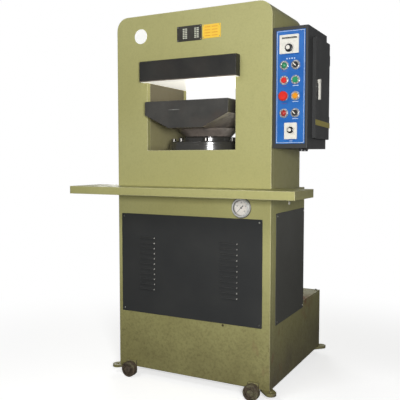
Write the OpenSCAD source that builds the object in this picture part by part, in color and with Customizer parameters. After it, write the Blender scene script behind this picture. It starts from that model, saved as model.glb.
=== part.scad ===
// Hydraulic moulding press: a box frame on four wheels, a ram table that rises against a fixed
// upper platen, a lower cabinet with the pump unit, a rear oil tank and a control box on the side.
// Millimetres. The origin lies on the ram axis at floor level, +Z is up and the front faces -Y.

/* [Frame] */
// Width of the frame
frame_w = 800; // [780:5:860]
// Depth of the upper frame over both plates
frame_depth = 380; // [370:5:430]
// Height of the frame's top above the floor
frame_top = 1745; // [1700:5:1850]
// Height of the frame's lower edge above the floor
base_z = 45; // [40:1:60]
// Radius of the two rounded top corners
corner_r = 60; // [20:1:90]
// Thickness of the front and rear plates
plate_t = 25; // [15:1:35]
// Thickness of the bent side and top shell
shell_t = 8; // [5:1:12]
// Width of the window in the front and rear plates
window_w = 460; // [440:5:490]
// Height of the window's lower edge above the floor
window_z = 1110; // [1090:5:1130]
// Thickness of the column liners beside the window
liner_t = 10; // [6:1:15]
// Thickness of the bed plate that carries the cylinder
bed_t = 60; // [40:5:80]
// Thickness of the crown plate above the upper platen
crown_t = 40; // [20:5:60]

/* [Platen and ram table] */
// Width of the upper platen
platen_w = 498; // [480:1:540]
// Height of the upper platen's underside above the floor
platen_z = 1430; // [1420:5:1450]
// Height of the upper platen
platen_h = 95; // [70:1:120]
// Reach of the upper platen in front of the frame
platen_proud = 38; // [10:1:60]
// Gap between the ram table and the upper platen when the press is open
daylight = 95; // [60:1:110]
// Width of the ram table
table_w = 430; // [400:5:436]
// Depth of the ram table
table_depth = 470; // [420:5:500]
// Height of the ram table's upright rim
table_rim_h = 62; // [45:1:75]
// Height of the keel below the rim
keel_h = 62; // [45:1:80]
// Width of the keel's lower face
keel_w = 176; // [140:1:220]

/* [Cylinder] */
// Diameter of the ram
ram_d = 205; // [180:1:215]
// Bore of the cylinder
bore_d = 230; // [225:1:240]
// Outer diameter of the cylinder barrel
barrel_d = 300; // [280:1:310]
// Length of the barrel below its flange
barrel_len = 310; // [290:5:340]
// Thickness of the barrel's closed end
barrel_end_t = 55; // [35:1:70]
// Diameter of the cylinder flange and head
flange_d = 378; // [372:1:380]
// Height of the cylinder flange
flange_h = 25; // [20:1:30]
// Height of the cylinder head
head_h = 37; // [30:1:40]
// Number of head bolts
head_bolt_count = 8; // [6:1:10]
// Diameter of the circle that the head bolts stand on
head_bolt_pcd = 340; // [336:1:344]

/* [Cabinet] */
// Depth of the cabinet behind the front face
cabinet_depth = 460; // [440:5:500]
// Height of the cabinet's top above the floor
cabinet_top = 930; // [915:1:935]
// Thickness of the cabinet's side and rear panels
panel_t = 6; // [3:1:8]
// Thickness of the base floor
floor_t = 10; // [6:1:14]
// Depth of the oil tank behind the cabinet
tank_depth = 290; // [240:5:340]
// Height of the oil tank's top above the floor
tank_top = 355; // [320:5:380]
// Thickness of the oil tank's walls
tank_wall = 5; // [3:1:8]

/* [Covers] */
// Thickness of the sheet covers
cover_t = 2.5; // [1.5:0.5:4]
// Width of the front cover
front_cover_w = 742; // [700:1:750]
// Height of the front cover
front_cover_h = 484; // [440:1:520]
// Height of the side covers' lower edges above the floor
cover_z = 324; // [310:1:340]
// Height of the side covers
side_cover_h = 504; // [460:1:510]
// Overlap of a cover on the wall round its opening
cover_lap = 26; // [18:1:30]

/* [Louvres] */
// Number of louvres in a column
louvre_count = 11; // [5:1:13]
// Length of a louvre
louvre_len = 86; // [50:1:120]
// Distance between louvres
louvre_pitch = 24.8; // [18:0.1:30]
// Reach of a louvre's hood in front of the cover
louvre_r = 7; // [5:0.5:9]
// Distance between the middles of the two columns
louvre_spread = 434; // [300:1:500]

/* [Shelf] */
// Width of the work shelf
shelf_w = 1130; // [1000:5:1200]
// Reach of the shelf in front of the frame
shelf_reach = 170; // [120:1:220]
// Reach of the shelf's wings along the frame's sides
wing_reach = 75; // [40:1:120]
// Height of the shelf's top above the floor
shelf_z = 940; // [925:1:960]
// Height of the shelf's folded lip
shelf_lip = 36; // [20:1:40]
// Thickness of the shelf's sheet
shelf_t = 4; // [2:0.5:6]

/* [Control box] */
// Width of the control box
box_w = 157; // [150:1:180]
// Depth of the control box
box_depth = 274; // [260:1:300]
// Height of the control box's underside above the floor
box_z = 1114; // [1090:1:1140]
// Wall of the control box
box_wall = 3; // [1.5:0.5:4]
// Width of the control panel
panel_w = 127; // [114:1:130]
// Height of the control panel; the box's height follows it
panel_h = 474; // [450:1:500]
// Height that the door stands proud of the control box
door_proud = 15; // [12:1:20]
// Radius of the push buttons, lamps and selectors
button_r = 12.3; // [10:0.1:13]
// Width of the temperature controller's face
controller_w = 84; // [72:1:90]
// Height of the temperature controller's face
controller_h = 78; // [72:1:90]
// Width of the timer's face
timer_w = 55; // [48:1:60]
// Height of the timer's face
timer_h = 69; // [56:1:72]

/* [Gauge] */
// Diameter of the gauge's bezel
gauge_d = 84; // [70:1:100]
// Distance of the gauge from the middle of the frame
gauge_x = 261; // [240:1:280]
// Height of the gauge's middle above the floor; the front cover hangs below it
gauge_z = 853; // [835:1:855]

/* [Wheels and feet] */
// Diameter of the wheels
wheel_d = 74; // [66:1:90]
// Width of the wheels
wheel_w = 32; // [24:1:40]
// Distance of the wheels from the middle of the frame
wheel_x = 325; // [310:1:330]
// Diameter of the wheel axles
axle_d = 20; // [14:1:24]
// Radius of the foot lugs' round ends
lug_r = 25; // [22:1:28]
// Thickness of the foot lugs
lug_t = 13; // [8:1:26]
// Diameter of the holes in the foot lugs
lug_hole_d = 18; // [12:1:22]

/* [Hidden] */
$fn = 96;

// Overrun of every cut past the face that it opens
overrun = 2;
// Running clearance of shafts in their bores
shaft_gap = 0.05;
// Clearance between pieces that move past each other
move_gap = 0.3;
// Clearance of seats, bolts and sheet edges
seat_gap = 0.5;

// Places shared by the frame's pieces
half_w = frame_w / 2;
front_y = -frame_depth / 2;
rear_y = frame_depth / 2;
plate_in_y = [front_y + plate_t, rear_y - plate_t];
shell_in = half_w - shell_t;
panel_in = half_w - panel_t;
cabinet_y = front_y + cabinet_depth;
base_y = cabinet_y + tank_depth;
floor_top = base_z + floor_t;
crown_z = platen_z + platen_h;

// Ribs of the crown, and the bevel on the upper platen's edges
rib_t = 20;
rib_share = 0.36;
platen_bevel = 4;

// The ram table and its conical neck
table_top = platen_z - daylight;
keel_top = table_top - table_rim_h;
keel_z = keel_top - keel_h;
table_bevel = 3;
ram_r = ram_d / 2;
head_z = window_z + flange_h;
head_top = head_z + head_h;
neck_gap = 4;
neck_z = head_top + neck_gap;
neck_wall = 10;
neck_flare = keel_z + table_bevel - neck_z;
socket_depth = 39;

// The ram's foot, the cylinder's inside and its port
barrel_z = window_z - barrel_len;
bore_z = barrel_z + barrel_end_t;
foot_h = 60;
foot_z = bore_z + move_gap;
port_r = 10;
wiper_w = 9;
wiper_h = 12;
wiper_proud = 4;
head_bevel = 4;
head_rim_h = 16;
bolt_r = 8;
bolt_head_r = 12;
bolt_head_h = 16;
bolt_socket_r = 7;
bolt_socket_h = 8;
boss_gap = 13;
boss_r = head_bolt_pcd / 2 - bolt_head_r - boss_gap;

// Places of the covers
cover_shift = -9;
cover_corner_r = 4;
side_cover_margin = [62, 8];
side_cover_y = [front_y + side_cover_margin[0], cabinet_y - side_cover_margin[1]];
lip_depth = panel_t - seat_gap;
louvre_wall = 2;
louvre_shift = -17;

// The rear plate's service opening, and the wall that the valve block hangs on
rear_leg_w = 65;
valve_wall_w = 270;
service_sill = 60;

// The oil tank's lid and filler
lid_t = 6;
filler_r = 24;
filler_cap_r = 36;
filler_cap_h = 38;
filler_bevel = 6.5;
filler_dip = 30;
filler_share = -0.5;

// Wheels, axle plates and retaining caps
wheel_r = wheel_d / 2;
axle_r = axle_d / 2;
axle_plate_w = 50;
axle_plate_t = 12;
axle_plate_rise = 38;
axle_plate_drop = 24;
hub_r = 17;
hub_proud = 6;
rim_t = 9;
web_t = 12;
rim_bevel = 3;
cap_r = 15;
cap_t = 6;
cap_bore_r = 4;

// Foot lugs
lug_out = 8.5;
lug_run = 60;

// The gauge, measured outwards from the front plate's face
gauge_r = gauge_d / 2;
gauge_flange_w = 5;
gauge_flange_t = 4;
gauge_gap = 1.5;
bezel_w = 6;
bezel_lip = 7;
bezel_h = 16;
bezel_bevel = 2;
gauge_back = 35;
dial_floor = 2;
dial_t = 1;
lens_t = 2;
lens_floor = 11;
lens_lap = 1.5;
needle_hub_r = 4;
needle_shaft_r = 1.5;
needle_shaft_l = 9;
needle_floor = 5;
needle_t = 1;
needle_w = 2.2;
needle_tail_w = 4.4;
needle_tip_w = 0.9;
needle_len_share = 0.68;
needle_tail_share = 0.4;
needle_angle = 225;

// The control box and its door
box_setback = 5;
box_x = [half_w, half_w + box_w];
box_y = [front_y + box_setback, front_y + box_setback + box_depth];
box_corner_r = 5;
panel_plate_t = 2;
panel_lap = 7;
panel_inset = 18;
panel_rise = 20;
panel_head = 15;
box_zs = [box_z, box_z + panel_rise + panel_h + panel_head];
panel_x = [half_w + panel_inset, half_w + panel_inset + panel_w];
panel_z = [box_z + panel_rise, box_z + panel_rise + panel_h];
panel_face = box_y[0] - panel_plate_t;
door_margin_y = [60, 5];
door_margin_z = [42, 38];
door_y = [box_y[0] + door_margin_y[0], box_y[1] - door_margin_y[1]];
door_z = [box_zs[0] + door_margin_z[0], box_zs[1] - door_margin_z[1]];
door_x = [box_x[1] + seat_gap, box_x[1] + door_proud];
door_sheet = 2;
door_lap = 18;
door_corner_r = 5;

// Door hinges: a fixed lower barrel with its pin, and the door's barrel above it
hinge_r = 6;
hinge_pin_r = 3;
hinge_h = 22;
hinge_out = 7;
hinge_leaf_t = 2.5;
hinge_leaf_w = 30;
hinge_x = box_x[1] + hinge_out;
hinge_y = box_y[1] + hinge_out;
hinge_shares = [0.14, 0.78];
hinge_zs = [for (s = hinge_shares) door_z[0] + s * (door_z[1] - door_z[0])];

// Door handle
handle_y_share = 0.157;
handle_y = door_y[0] + handle_y_share * (door_y[1] - door_y[0]);
handle_z_share = 0.57;
handle_z = door_z[0] + handle_z_share * (door_z[1] - door_z[0]);
handle_shaft_r = 6;
handle_hub_r = 9;
handle_hub_h = 12;
handle_len = 74;
handle_w = 10;
handle_t = 9;
cam_len = 24;
cam_w = 16;
cam_t = 4;

// Places of the panel's pieces, as shares of the panel
column_shares = [0.283, 0.677];
row_shares = [0.271, 0.421, 0.562, 0.693];
controller_shares = [0.457, 0.8755];
timer_shares = [0.5315, 0.112];

// Sizes of the panel's pieces, measured outwards from the panel's face
ring_w = 7;
ring_h = 5;
button_dip = 8;
button_h = 9;
button_bevel = 1.5;
block_w = 30;
block_h = 34;
block_depth = 38;
block_bore = 15;
stop_r = 20;
stop_stem_h = 12;
stop_head_h = 10;
stop_bevel = 5;
selector_skirt_h = 9;
selector_bar_w = 9;
selector_bar_h = 11;
selector_turn = -45;
lamp_h = 7;
case_face_h = 7;
case_corner_r = 3;
case_lap = 7;
case_depth = 60;
knob_shaft_r = 3;
knob_shaft_l = 12;
knob_skirt_h = 4;
knob_h = 14;
controller_knob_r = 17;
timer_knob_r = 14;
knob_grip_share = 0.68;
controller_knob_share = -0.2;
timer_knob_share = 0.05;

// Pieces inside the control box
back_plate_t = 2;
back_plate_lap = 24;
contactor_w = 46;
contactor_h = 84;
contactor_depth = 64;
terminal_h = 42;
terminal_depth = 30;
gland_r = 13;
gland_h = 12;
gland_nut_r = 16;
gland_nut_h = 5;
gland_inset = 36;
gland_pitch = 44;

// The pump unit
motor_r = 92;
motor_len = 270;
motor_foot_h = 14;
motor_foot_w = 150;
motor_cap_len = 50;
motor_y = -20;
motor_x0 = -panel_in + rear_leg_w;
motor_z = floor_top + motor_foot_h + motor_r;
motor_box_w = 90;
motor_box_h = 46;
fin_count = 24;
fin_turn_share = 0.5;
fin_t = 4;
fin_h = 8;
bell_r = 72;
bell_len = 86;
bell_flange_t = 12;
pump_w = 110;
pump_len = 120;
pump_x = motor_x0 + motor_len + bell_len;
valve_w = 140;
valve_depth = 90;
valve_h = 140;
valve_inset = 75;
valve_x = panel_in - valve_wall_w + valve_inset;
valve_rise = 100;
valve_z = cover_z + valve_rise;
valve_y = plate_in_y[1] - valve_depth;
spool_w = 56;
spool_h = 64;
coil_r = 25;
coil_len = 66;
pipe_r = 11;
thin_pipe_r = 5;
elbow_share = 1.4;
suction_r = 16;
suction_drop = 20;
suction_z = motor_z - suction_drop;
return_rise = 90;
return_z = suction_z + return_rise;
pipe_drop = 60;
pipe_side = 24;
gauge_pipe_run = 45;
gauge_pipe_y = front_y + gauge_back + gauge_pipe_run;
tank_reach = 40;

// Finishes
olive = "#8f8a5c";
dark_olive = "#6f6b48";
black = "#2c2c2d";
steel = "#b9bcc0";
rust = "#6b4634";
blue = "#1f5cb8";
ivory = "#efece2";

// A block between two limits on each axis
module block(x, y, z) {
    translate([x[0], y[0], z[0]]) cube([x[1] - x[0], y[1] - y[0], z[1] - z[0]]);
}

// A rectangle between two limits on each axis
module rect(x, y) {
    translate([x[0], y[0]]) square([x[1] - x[0], y[1] - y[0]]);
}

// A rectangle with round corners
module soft_rect(x, y, r) {
    rect([x[0] + r, x[1] - r], y);
    rect(x, [y[0] + r, y[1] - r]);
    for (cx = [x[0] + r, x[1] - r], cy = [y[0] + r, y[1] - r])
        translate([cx, cy]) circle(r);
}

// Sheets that lie across one axis, each drawn in the other two
module sheet_x(x) {
    translate([x[0], 0, 0]) rotate([90, 0, 90]) linear_extrude(x[1] - x[0]) children();
}
module sheet_y(y) {
    translate([0, y[1], 0]) rotate([90, 0, 0]) linear_extrude(y[1] - y[0]) children();
}
module sheet_z(z) {
    translate([0, 0, z[0]]) linear_extrude(z[1] - z[0]) children();
}

// Children once on each side of the frame's middle plane
module both_sides() {
    children();
    mirror([1, 0, 0]) children();
}

// A turned piece whose axis points forwards from a place on a face; drawn as radius and reach
module turned_front(place) {
    translate(place) rotate([90, 0, 0]) rotate_extrude() children();
}

// A round bar or hole along Y
module bar_y(place, r, y) {
    translate([place[0], y[1], place[1]]) rotate([90, 0, 0]) cylinder(r = r, h = y[1] - y[0]);
}

// A pipe along a route, with a forged block elbow at each bend
module pipe(route, r) {
    for (i = [0 : len(route) - 2]) {
        run = route[i + 1] - route[i];
        translate(route[i])
            rotate([0, acos(run[2] / norm(run)), atan2(run[1], run[0])])
                cylinder(r = r, h = norm(run));
    }
    for (i = [1 : 1 : len(route) - 2])
        translate(route[i]) cube(2 * elbow_share * r, center = true);
}

// Outline of the upper frame, moved inwards by inset and cut off at bottom
module frame_outline(inset, bottom) {
    half = half_w - inset;
    top = frame_top - inset;
    r = corner_r - inset;
    rect([-half, half], [bottom, top - r]);
    rect([-half + r, half - r], [bottom, top]);
    for (s = [-1, 1])
        translate([s * (half - r), top - r]) circle(r);
}

// Stepped window: the press opening below, and the wider seat of the upper platen
module window_outline() {
    seat = platen_w / 2 + seat_gap;
    rect([-window_w / 2, window_w / 2], [window_z, crown_z]);
    rect([-seat, seat], [platen_z, crown_z]);
}

// Limits of the covers; the front cover hangs just below the gauge
cover_top = gauge_z - gauge_r - gauge_flange_w - gauge_gap;
front_cover_x = [cover_shift - front_cover_w / 2, cover_shift + front_cover_w / 2];
front_cover_zs = [cover_top - front_cover_h, cover_top];
side_cover_zs = [cover_z, cover_z + side_cover_h];

module front_plate() {
    color(olive)
    difference() {
        sheet_y([front_y, plate_in_y[0]])
            difference() {
                frame_outline(0, base_z);
                window_outline();
                rect(inside(front_cover_x, cover_lap), inside(front_cover_zs, cover_lap));
            }
        bar_y([gauge_x, gauge_z], gauge_r - bezel_w + seat_gap, around([front_y, plate_in_y[0]]));
    }
}

// Limits moved inwards by a margin, and limits that a cut runs past
function inside(limits, margin) = [limits[0] + margin, limits[1] - margin];
function around(limits) = [limits[0] - overrun, limits[1] + overrun];

module rear_plate() {
    service_x = [-panel_in + rear_leg_w, panel_in - valve_wall_w];
    color(olive)
    difference() {
        sheet_y([plate_in_y[1], rear_y])
            difference() {
                union() {
                    frame_outline(0, cabinet_top);
                    rect([-panel_in, panel_in], [floor_top, cabinet_top]);
                }
                window_outline();
                rect(service_x, [floor_top + service_sill, barrel_z - service_sill]);
            }
        bar_y([return_x, return_z], pipe_r + seat_gap, around([plate_in_y[1], rear_y]));
    }
}

module side_shell() {
    color(olive)
    sheet_y(plate_in_y)
        difference() {
            frame_outline(0, cabinet_top);
            frame_outline(shell_t, cabinet_top - overrun);
        }
}

module column_liners() {
    color(dark_olive)
    both_sides()
        block([window_w / 2, window_w / 2 + liner_t], plate_in_y, [window_z, platen_z]);
}

module bed_plate() {
    color(dark_olive)
    difference() {
        block([-shell_in, shell_in], plate_in_y, [window_z - bed_t, window_z]);
        translate([0, 0, window_z - bed_t - overrun])
            cylinder(r = barrel_d / 2 + seat_gap, h = bed_t + 2 * overrun);
    }
}

// Crown plate with its upright ribs, welded in one
module crown_plate() {
    rib_top = frame_top - shell_t;
    color(dark_olive) {
        block([-shell_in, shell_in], plate_in_y, [crown_z, crown_z + crown_t]);
        for (s = [-1, 0, 1])
            translate([s * rib_share * frame_w, 0, 0])
                block([-rib_t / 2, rib_t / 2], plate_in_y, [crown_z, rib_top]);
    }
}

module upper_platen() {
    reach = frame_depth / 2 + platen_proud;
    b = platen_bevel;
    color(black)
    sheet_x([-platen_w / 2, platen_w / 2])
        polygon([
            [-reach + b, platen_z], [reach - b, platen_z], [reach, platen_z + b],
            [reach, crown_z - b], [reach - b, crown_z], [-reach + b, crown_z],
            [-reach, crown_z - b], [-reach, platen_z + b]
        ]);
}

module base_floor() {
    color(dark_olive)
    block([-panel_in, panel_in], [plate_in_y[0], cabinet_y], [base_z, floor_top]);
}

module side_panels() {
    color(olive)
    both_sides()
        sheet_x([panel_in, half_w])
            difference() {
                rect([plate_in_y[0], cabinet_y], [base_z, cabinet_top]);
                rect(inside(side_cover_y, cover_lap), inside(side_cover_zs, cover_lap));
            }
}

// Rear panel, folded forwards at the top to close the cabinet behind the frame
module rear_panel() {
    color(olive)
    sheet_x([-panel_in, panel_in]) {
        rect([cabinet_y - panel_t, cabinet_y], [tank_top, cabinet_top]);
        rect([rear_y, cabinet_y], [cabinet_top - panel_t, cabinet_top]);
    }
}

// Section of a louvre: a quarter round above the slot, carried on through the sheet and past it
module louvre_section(r, past) {
    intersection() {
        circle(r);
        rect([-r, 0], [0, r]);
    }
    rect([0, cover_t + past], [0, r]);
}

// Plan of a louvre, with its two ends rounded off
module louvre_plan(half, r, past) {
    rect([-half, half], [0, cover_t + past]);
    rect(inside([-half, half], r), [-r, 0]);
    for (s = [-1, 1])
        translate([s * (half - r), 0]) circle(r);
}

// Hood of a louvre, and the space under it that opens downwards and through the sheet
module louvre_hood(half, r) {
    intersection() {
        sheet_x([-half, half]) louvre_section(r, 0);
        sheet_z([0, r]) louvre_plan(half, r, 0);
    }
}
module louvre_space(half, r) {
    intersection() {
        sheet_x([-half, half]) {
            louvre_section(r, overrun);
            rect([-r, 0], [-overrun, 0]);
        }
        sheet_z([-overrun, r]) louvre_plan(half, r, overrun);
    }
}

// Children at the middle of every louvre's slot
module at_louvres() {
    middle = (front_cover_zs[0] + front_cover_zs[1]) / 2;
    rows = [for (i = [0 : louvre_count - 1]) (i - (louvre_count - 1) / 2) * louvre_pitch];
    for (s = [-1, 1], row = rows)
        translate([louvre_shift + s * louvre_spread / 2, front_y - cover_t, middle + row])
            children();
}

// Front cover with two columns of pressed louvres
module front_cover() {
    half = louvre_len / 2;
    color(black)
    difference() {
        union() {
            sheet_y([front_y - cover_t, front_y])
                soft_rect(front_cover_x, front_cover_zs, cover_corner_r);
            at_louvres() louvre_hood(half, louvre_r);
        }
        at_louvres() louvre_space(half - louvre_wall, louvre_r - louvre_wall);
    }
}

// Side covers: a flat sheet with a folded lip that locates it in the side panel's opening
module side_covers() {
    lip_y = inside(side_cover_y, cover_lap + seat_gap);
    lip_z = inside(side_cover_zs, cover_lap + seat_gap);
    color(black)
    both_sides() {
        sheet_x([half_w, half_w + cover_t])
            soft_rect(side_cover_y, side_cover_zs, cover_corner_r);
        sheet_x([half_w - lip_depth, half_w])
            difference() {
                rect(lip_y, lip_z);
                rect(inside(lip_y, cover_t), inside(lip_z, cover_t));
            }
    }
}

// Outline of the shelf, notched round the frame, with every edge moved inwards by inset
module shelf_outline(inset) {
    difference() {
        rect(inside([-shelf_w / 2, shelf_w / 2], inset),
             inside([front_y - shelf_reach, front_y + wing_reach], inset));
        rect([-half_w - inset, half_w + inset], [front_y - inset, front_y + wing_reach + overrun]);
    }
}

module shelf() {
    color(olive)
    difference() {
        sheet_z([shelf_z - shelf_lip, shelf_z]) shelf_outline(0);
        sheet_z([shelf_z - shelf_lip - overrun, shelf_z - shelf_t]) shelf_outline(shelf_t);
    }
}

module oil_tank() {
    tank_in = inside([-half_w, half_w], tank_wall);
    tank_y = [cabinet_y, base_y];
    color(olive)
    difference() {
        block([-half_w, half_w], tank_y, [base_z, tank_top - lid_t]);
        block(tank_in, inside(tank_y, tank_wall), [base_z + tank_wall, tank_top]);
        bar_y([suction_x, suction_z], suction_r + seat_gap, around([cabinet_y, cabinet_y + tank_wall]));
        bar_y([return_x, return_z], pipe_r + seat_gap, around([cabinet_y, cabinet_y + tank_wall]));
    }
}

filler_x = filler_share * half_w;
filler_y = (cabinet_y + base_y) / 2;

module tank_lid() {
    color(olive)
    difference() {
        block([-half_w, half_w], [cabinet_y, base_y], [tank_top - lid_t, tank_top]);
        translate([filler_x, filler_y, tank_top - lid_t - overrun])
            cylinder(r = filler_r + seat_gap, h = lid_t + 2 * overrun);
    }
}

// Filler cap with its neck through the lid
module filler_cap() {
    color(steel)
    translate([filler_x, filler_y, tank_top])
        rotate_extrude()
            polygon([
                [0, -filler_dip], [filler_r, -filler_dip], [filler_r, 0], [filler_cap_r, 0],
                [filler_cap_r, filler_cap_h - filler_bevel],
                [filler_cap_r - filler_bevel, filler_cap_h], [0, filler_cap_h]
            ]);
}

// Children at the four corners of the base, turned so that +X points outwards along the diagonal
module at_corners() {
    both_sides() {
        translate([half_w + lug_out, front_y - lug_out, 0]) rotate(-45) children();
        translate([half_w + lug_out, base_y + lug_out, 0]) rotate(45) children();
    }
}

module foot_lugs() {
    color(dark_olive)
    at_corners()
        difference() {
            sheet_z([base_z - lug_t, base_z]) {
                circle(lug_r);
                rect([-lug_run, 0], [-lug_r, lug_r]);
            }
            translate([0, 0, base_z - lug_t - overrun])
                cylinder(r = lug_hole_d / 2, h = lug_t + 2 * overrun);
        }
}

// A place beside one wheel: -Y points away from the base, and the axle's height is zero
module at_wheel(side, rear) {
    translate([side * wheel_x, rear ? base_y : front_y, wheel_r])
        rotate(rear ? 180 : 0) children();
}

module at_wheels() {
    for (side = [-1, 1], rear = [false, true])
        at_wheel(side, rear) children();
}

hub_start = axle_plate_t + seat_gap;
hub_end = hub_start + wheel_w + hub_proud;
axle_end = hub_end + seat_gap;

// Axle plates with their stub axles, welded to the front plate and to the tank
module axle_stubs() {
    half = axle_plate_w / 2;
    color(rust)
    at_wheels() {
        block([-half, half], [-axle_plate_t, 0], [-axle_plate_drop, axle_plate_rise]);
        bar_y([0, 0], axle_r, [-axle_end, -axle_plate_t / 2]);
    }
}

module axle_caps() {
    color(rust)
    at_wheels()
        turned_front([0, -axle_end, 0])
            polygon([
                [0, 0], [cap_r, 0], [cap_r, cap_t - rim_bevel], [cap_r - rim_bevel, cap_t],
                [cap_bore_r, cap_t], [0, cap_t - rim_bevel]
            ]);
}

// Iron wheel: rim, sunk web and a hub that stands proud of the rim
module wheel(side, rear) {
    bore = axle_r + shaft_gap;
    web = hub_start + (wheel_w - web_t) / 2;
    rim = [hub_start, hub_start + wheel_w];
    rim_in = wheel_r - rim_t;
    color(rust)
    at_wheel(side, rear)
        turned_front([0, 0, 0])
            polygon([
                [bore, hub_start], [hub_r, hub_start], [hub_r, web], [rim_in, web],
                [rim_in, rim[0]], [wheel_r - rim_bevel, rim[0]], [wheel_r, rim[0] + rim_bevel],
                [wheel_r, rim[1] - rim_bevel], [wheel_r - rim_bevel, rim[1]], [rim_in, rim[1]],
                [rim_in, web + web_t], [hub_r, web + web_t], [hub_r, hub_end - rim_bevel],
                [hub_r - rim_bevel, hub_end], [bore, hub_end]
            ]);
}

module wheel_front_left() { wheel(-1, false); }
module wheel_front_right() { wheel(1, false); }
module wheel_rear_left() { wheel(-1, true); }
module wheel_rear_right() { wheel(1, true); }

gauge_place = [gauge_x, front_y, gauge_z];
case_r = gauge_r - bezel_w;
lens_r = gauge_r - bezel_w / 2 - seat_gap;

// Gauge case: the body behind the plate, the flange on it and the bezel with the lens seat inside
module gauge_case() {
    lens_seat = lens_r + shaft_gap;
    lens_end = lens_floor + lens_t;
    flange_r = gauge_r + gauge_flange_w;
    color(steel)
    difference() {
        turned_front(gauge_place)
            polygon([
                [0, -gauge_back], [case_r, -gauge_back], [case_r, 0], [flange_r, 0],
                [flange_r, gauge_flange_t], [gauge_r, gauge_flange_t],
                [gauge_r, bezel_h - bezel_bevel], [gauge_r - bezel_bevel, bezel_h],
                [gauge_r - bezel_lip, bezel_h], [gauge_r - bezel_lip, lens_end],
                [lens_seat, lens_end], [lens_seat, lens_floor],
                [lens_seat - lens_lap, lens_floor], [lens_seat - lens_lap, dial_floor],
                [0, dial_floor]
            ]);
        bar_y([gauge_x, gauge_z], needle_shaft_r + shaft_gap,
              [front_y - dial_floor - overrun, front_y + needle_shaft_l]);
    }
}

module gauge_dial() {
    color(ivory)
    turned_front(gauge_place)
        rect([needle_shaft_r + shaft_gap, lens_r - lens_lap - shaft_gap],
             [dial_floor, dial_floor + dial_t]);
}

module gauge_lens() {
    color("#dfe8ee", 0.35)
    turned_front(gauge_place) rect([0, lens_r], [lens_floor, lens_floor + lens_t]);
}

// Needle with its shaft and a broad tail; at rest it points down and to the left, to the scale's zero
module gauge_needle() {
    reach = needle_len_share * case_r;
    tail = needle_tail_share * case_r;
    blade = [front_y - needle_floor - needle_t, front_y - needle_floor];
    color(black) {
        turned_front(gauge_place) {
            rect([0, needle_shaft_r], [-needle_shaft_l + move_gap, needle_floor]);
            rect([0, needle_hub_r], [dial_floor + dial_t + move_gap, needle_floor + needle_t]);
        }
        translate([gauge_x, 0, gauge_z])
            rotate([0, -needle_angle, 0])
                sheet_y(blade)
                    polygon([
                        [-tail, -needle_tail_w / 2], [0, -needle_w / 2], [reach, -needle_tip_w / 2],
                        [reach, needle_tip_w / 2], [0, needle_w / 2], [-tail, needle_tail_w / 2]
                    ]);
    }
}

module cylinder_body() {
    barrel_r = barrel_d / 2;
    bore_r = bore_d / 2;
    flange_r = flange_d / 2;
    color(black)
    difference() {
        rotate_extrude()
            polygon([
                [port_r, barrel_z], [barrel_r, barrel_z], [barrel_r, window_z],
                [flange_r, window_z], [flange_r, head_z], [bore_r, head_z], [bore_r, bore_z],
                [port_r, bore_z]
            ]);
        at_head_bolts() head_bolt_hole();
    }
}

// Children at each head bolt, on the rim of the cylinder head
module at_head_bolts() {
    for (i = [0 : head_bolt_count - 1])
        rotate((i + 0.5) * 360 / head_bolt_count)
            translate([head_bolt_pcd / 2, 0, head_z + head_rim_h]) children();
}

module head_bolt_hole() {
    depth = head_rim_h + flange_h;
    translate([0, 0, -depth - overrun]) cylinder(r = bolt_r + shaft_gap, h = depth + 2 * overrun);
}

// Cylinder head: a rim for the bolts and a raised boss with the ram's bearing and the wiper's recess
module cylinder_head() {
    flange_r = flange_d / 2;
    rim_top = head_z + head_rim_h;
    bearing = ram_r + shaft_gap;
    wiper = ram_r + wiper_w;
    b = head_bevel;
    color(black)
    difference() {
        rotate_extrude()
            polygon([
                [bearing, head_z], [flange_r, head_z], [flange_r, rim_top - b], [flange_r - b, rim_top],
                [boss_r, rim_top], [boss_r, head_top - b], [boss_r - b, head_top], [wiper, head_top],
                [wiper, head_top - wiper_h], [bearing, head_top - wiper_h]
            ]);
        at_head_bolts() head_bolt_hole();
    }
}

// Socket head bolts
module head_bolts() {
    shank = head_rim_h + flange_h;
    color(steel)
    at_head_bolts()
        difference() {
            rotate_extrude()
                polygon([
                    [0, -shank], [bolt_r, -shank], [bolt_r, 0], [bolt_head_r, 0],
                    [bolt_head_r, bolt_head_h], [0, bolt_head_h]
                ]);
            translate([0, 0, bolt_head_h - bolt_socket_h])
                cylinder(r = bolt_socket_r, h = bolt_socket_h + overrun, $fn = 6);
        }
}

module wiper_ring() {
    color(black)
    rotate_extrude()
        polygon([
            [ram_r + move_gap, head_top - wiper_h], [ram_r + wiper_w - shaft_gap, head_top - wiper_h],
            [ram_r + wiper_w - shaft_gap, head_top],
            [ram_r + move_gap, head_top + wiper_proud - move_gap]
        ]);
}

// Ram: one turned plunger with a wider foot that runs in the bore
module ram() {
    foot_r = bore_d / 2 - shaft_gap;
    ram_top = neck_z + socket_depth;
    color(steel)
    rotate_extrude()
        polygon([
            [0, foot_z], [foot_r - rim_bevel, foot_z], [foot_r, foot_z + rim_bevel],
            [foot_r, foot_z + foot_h], [ram_r, foot_z + foot_h], [ram_r, ram_top], [0, ram_top]
        ]);
}

// Ram table: upright rim, keel that tapers to both sides, and the round flared neck on the ram
module ram_table() {
    half = table_w / 2;
    depth = table_depth / 2;
    keel = keel_w / 2;
    b = table_bevel;
    neck_r = ram_r + neck_wall;
    color(black)
    difference() {
        union() {
            sheet_y([-depth, depth])
                polygon([
                    [-keel, keel_z], [keel, keel_z], [half, keel_top], [half, table_top - b],
                    [half - b, table_top], [-half + b, table_top], [-half, table_top - b],
                    [-half, keel_top]
                ]);
            translate([0, 0, neck_z])
                rotate_extrude()
                    polygon([
                        [0, 0], [neck_r, 0], [neck_r + neck_flare, neck_flare], [0, neck_flare]
                    ]);
        }
        translate([0, 0, neck_z - overrun])
            cylinder(r = ram_r + shaft_gap, h = socket_depth + overrun);
    }
}

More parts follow.
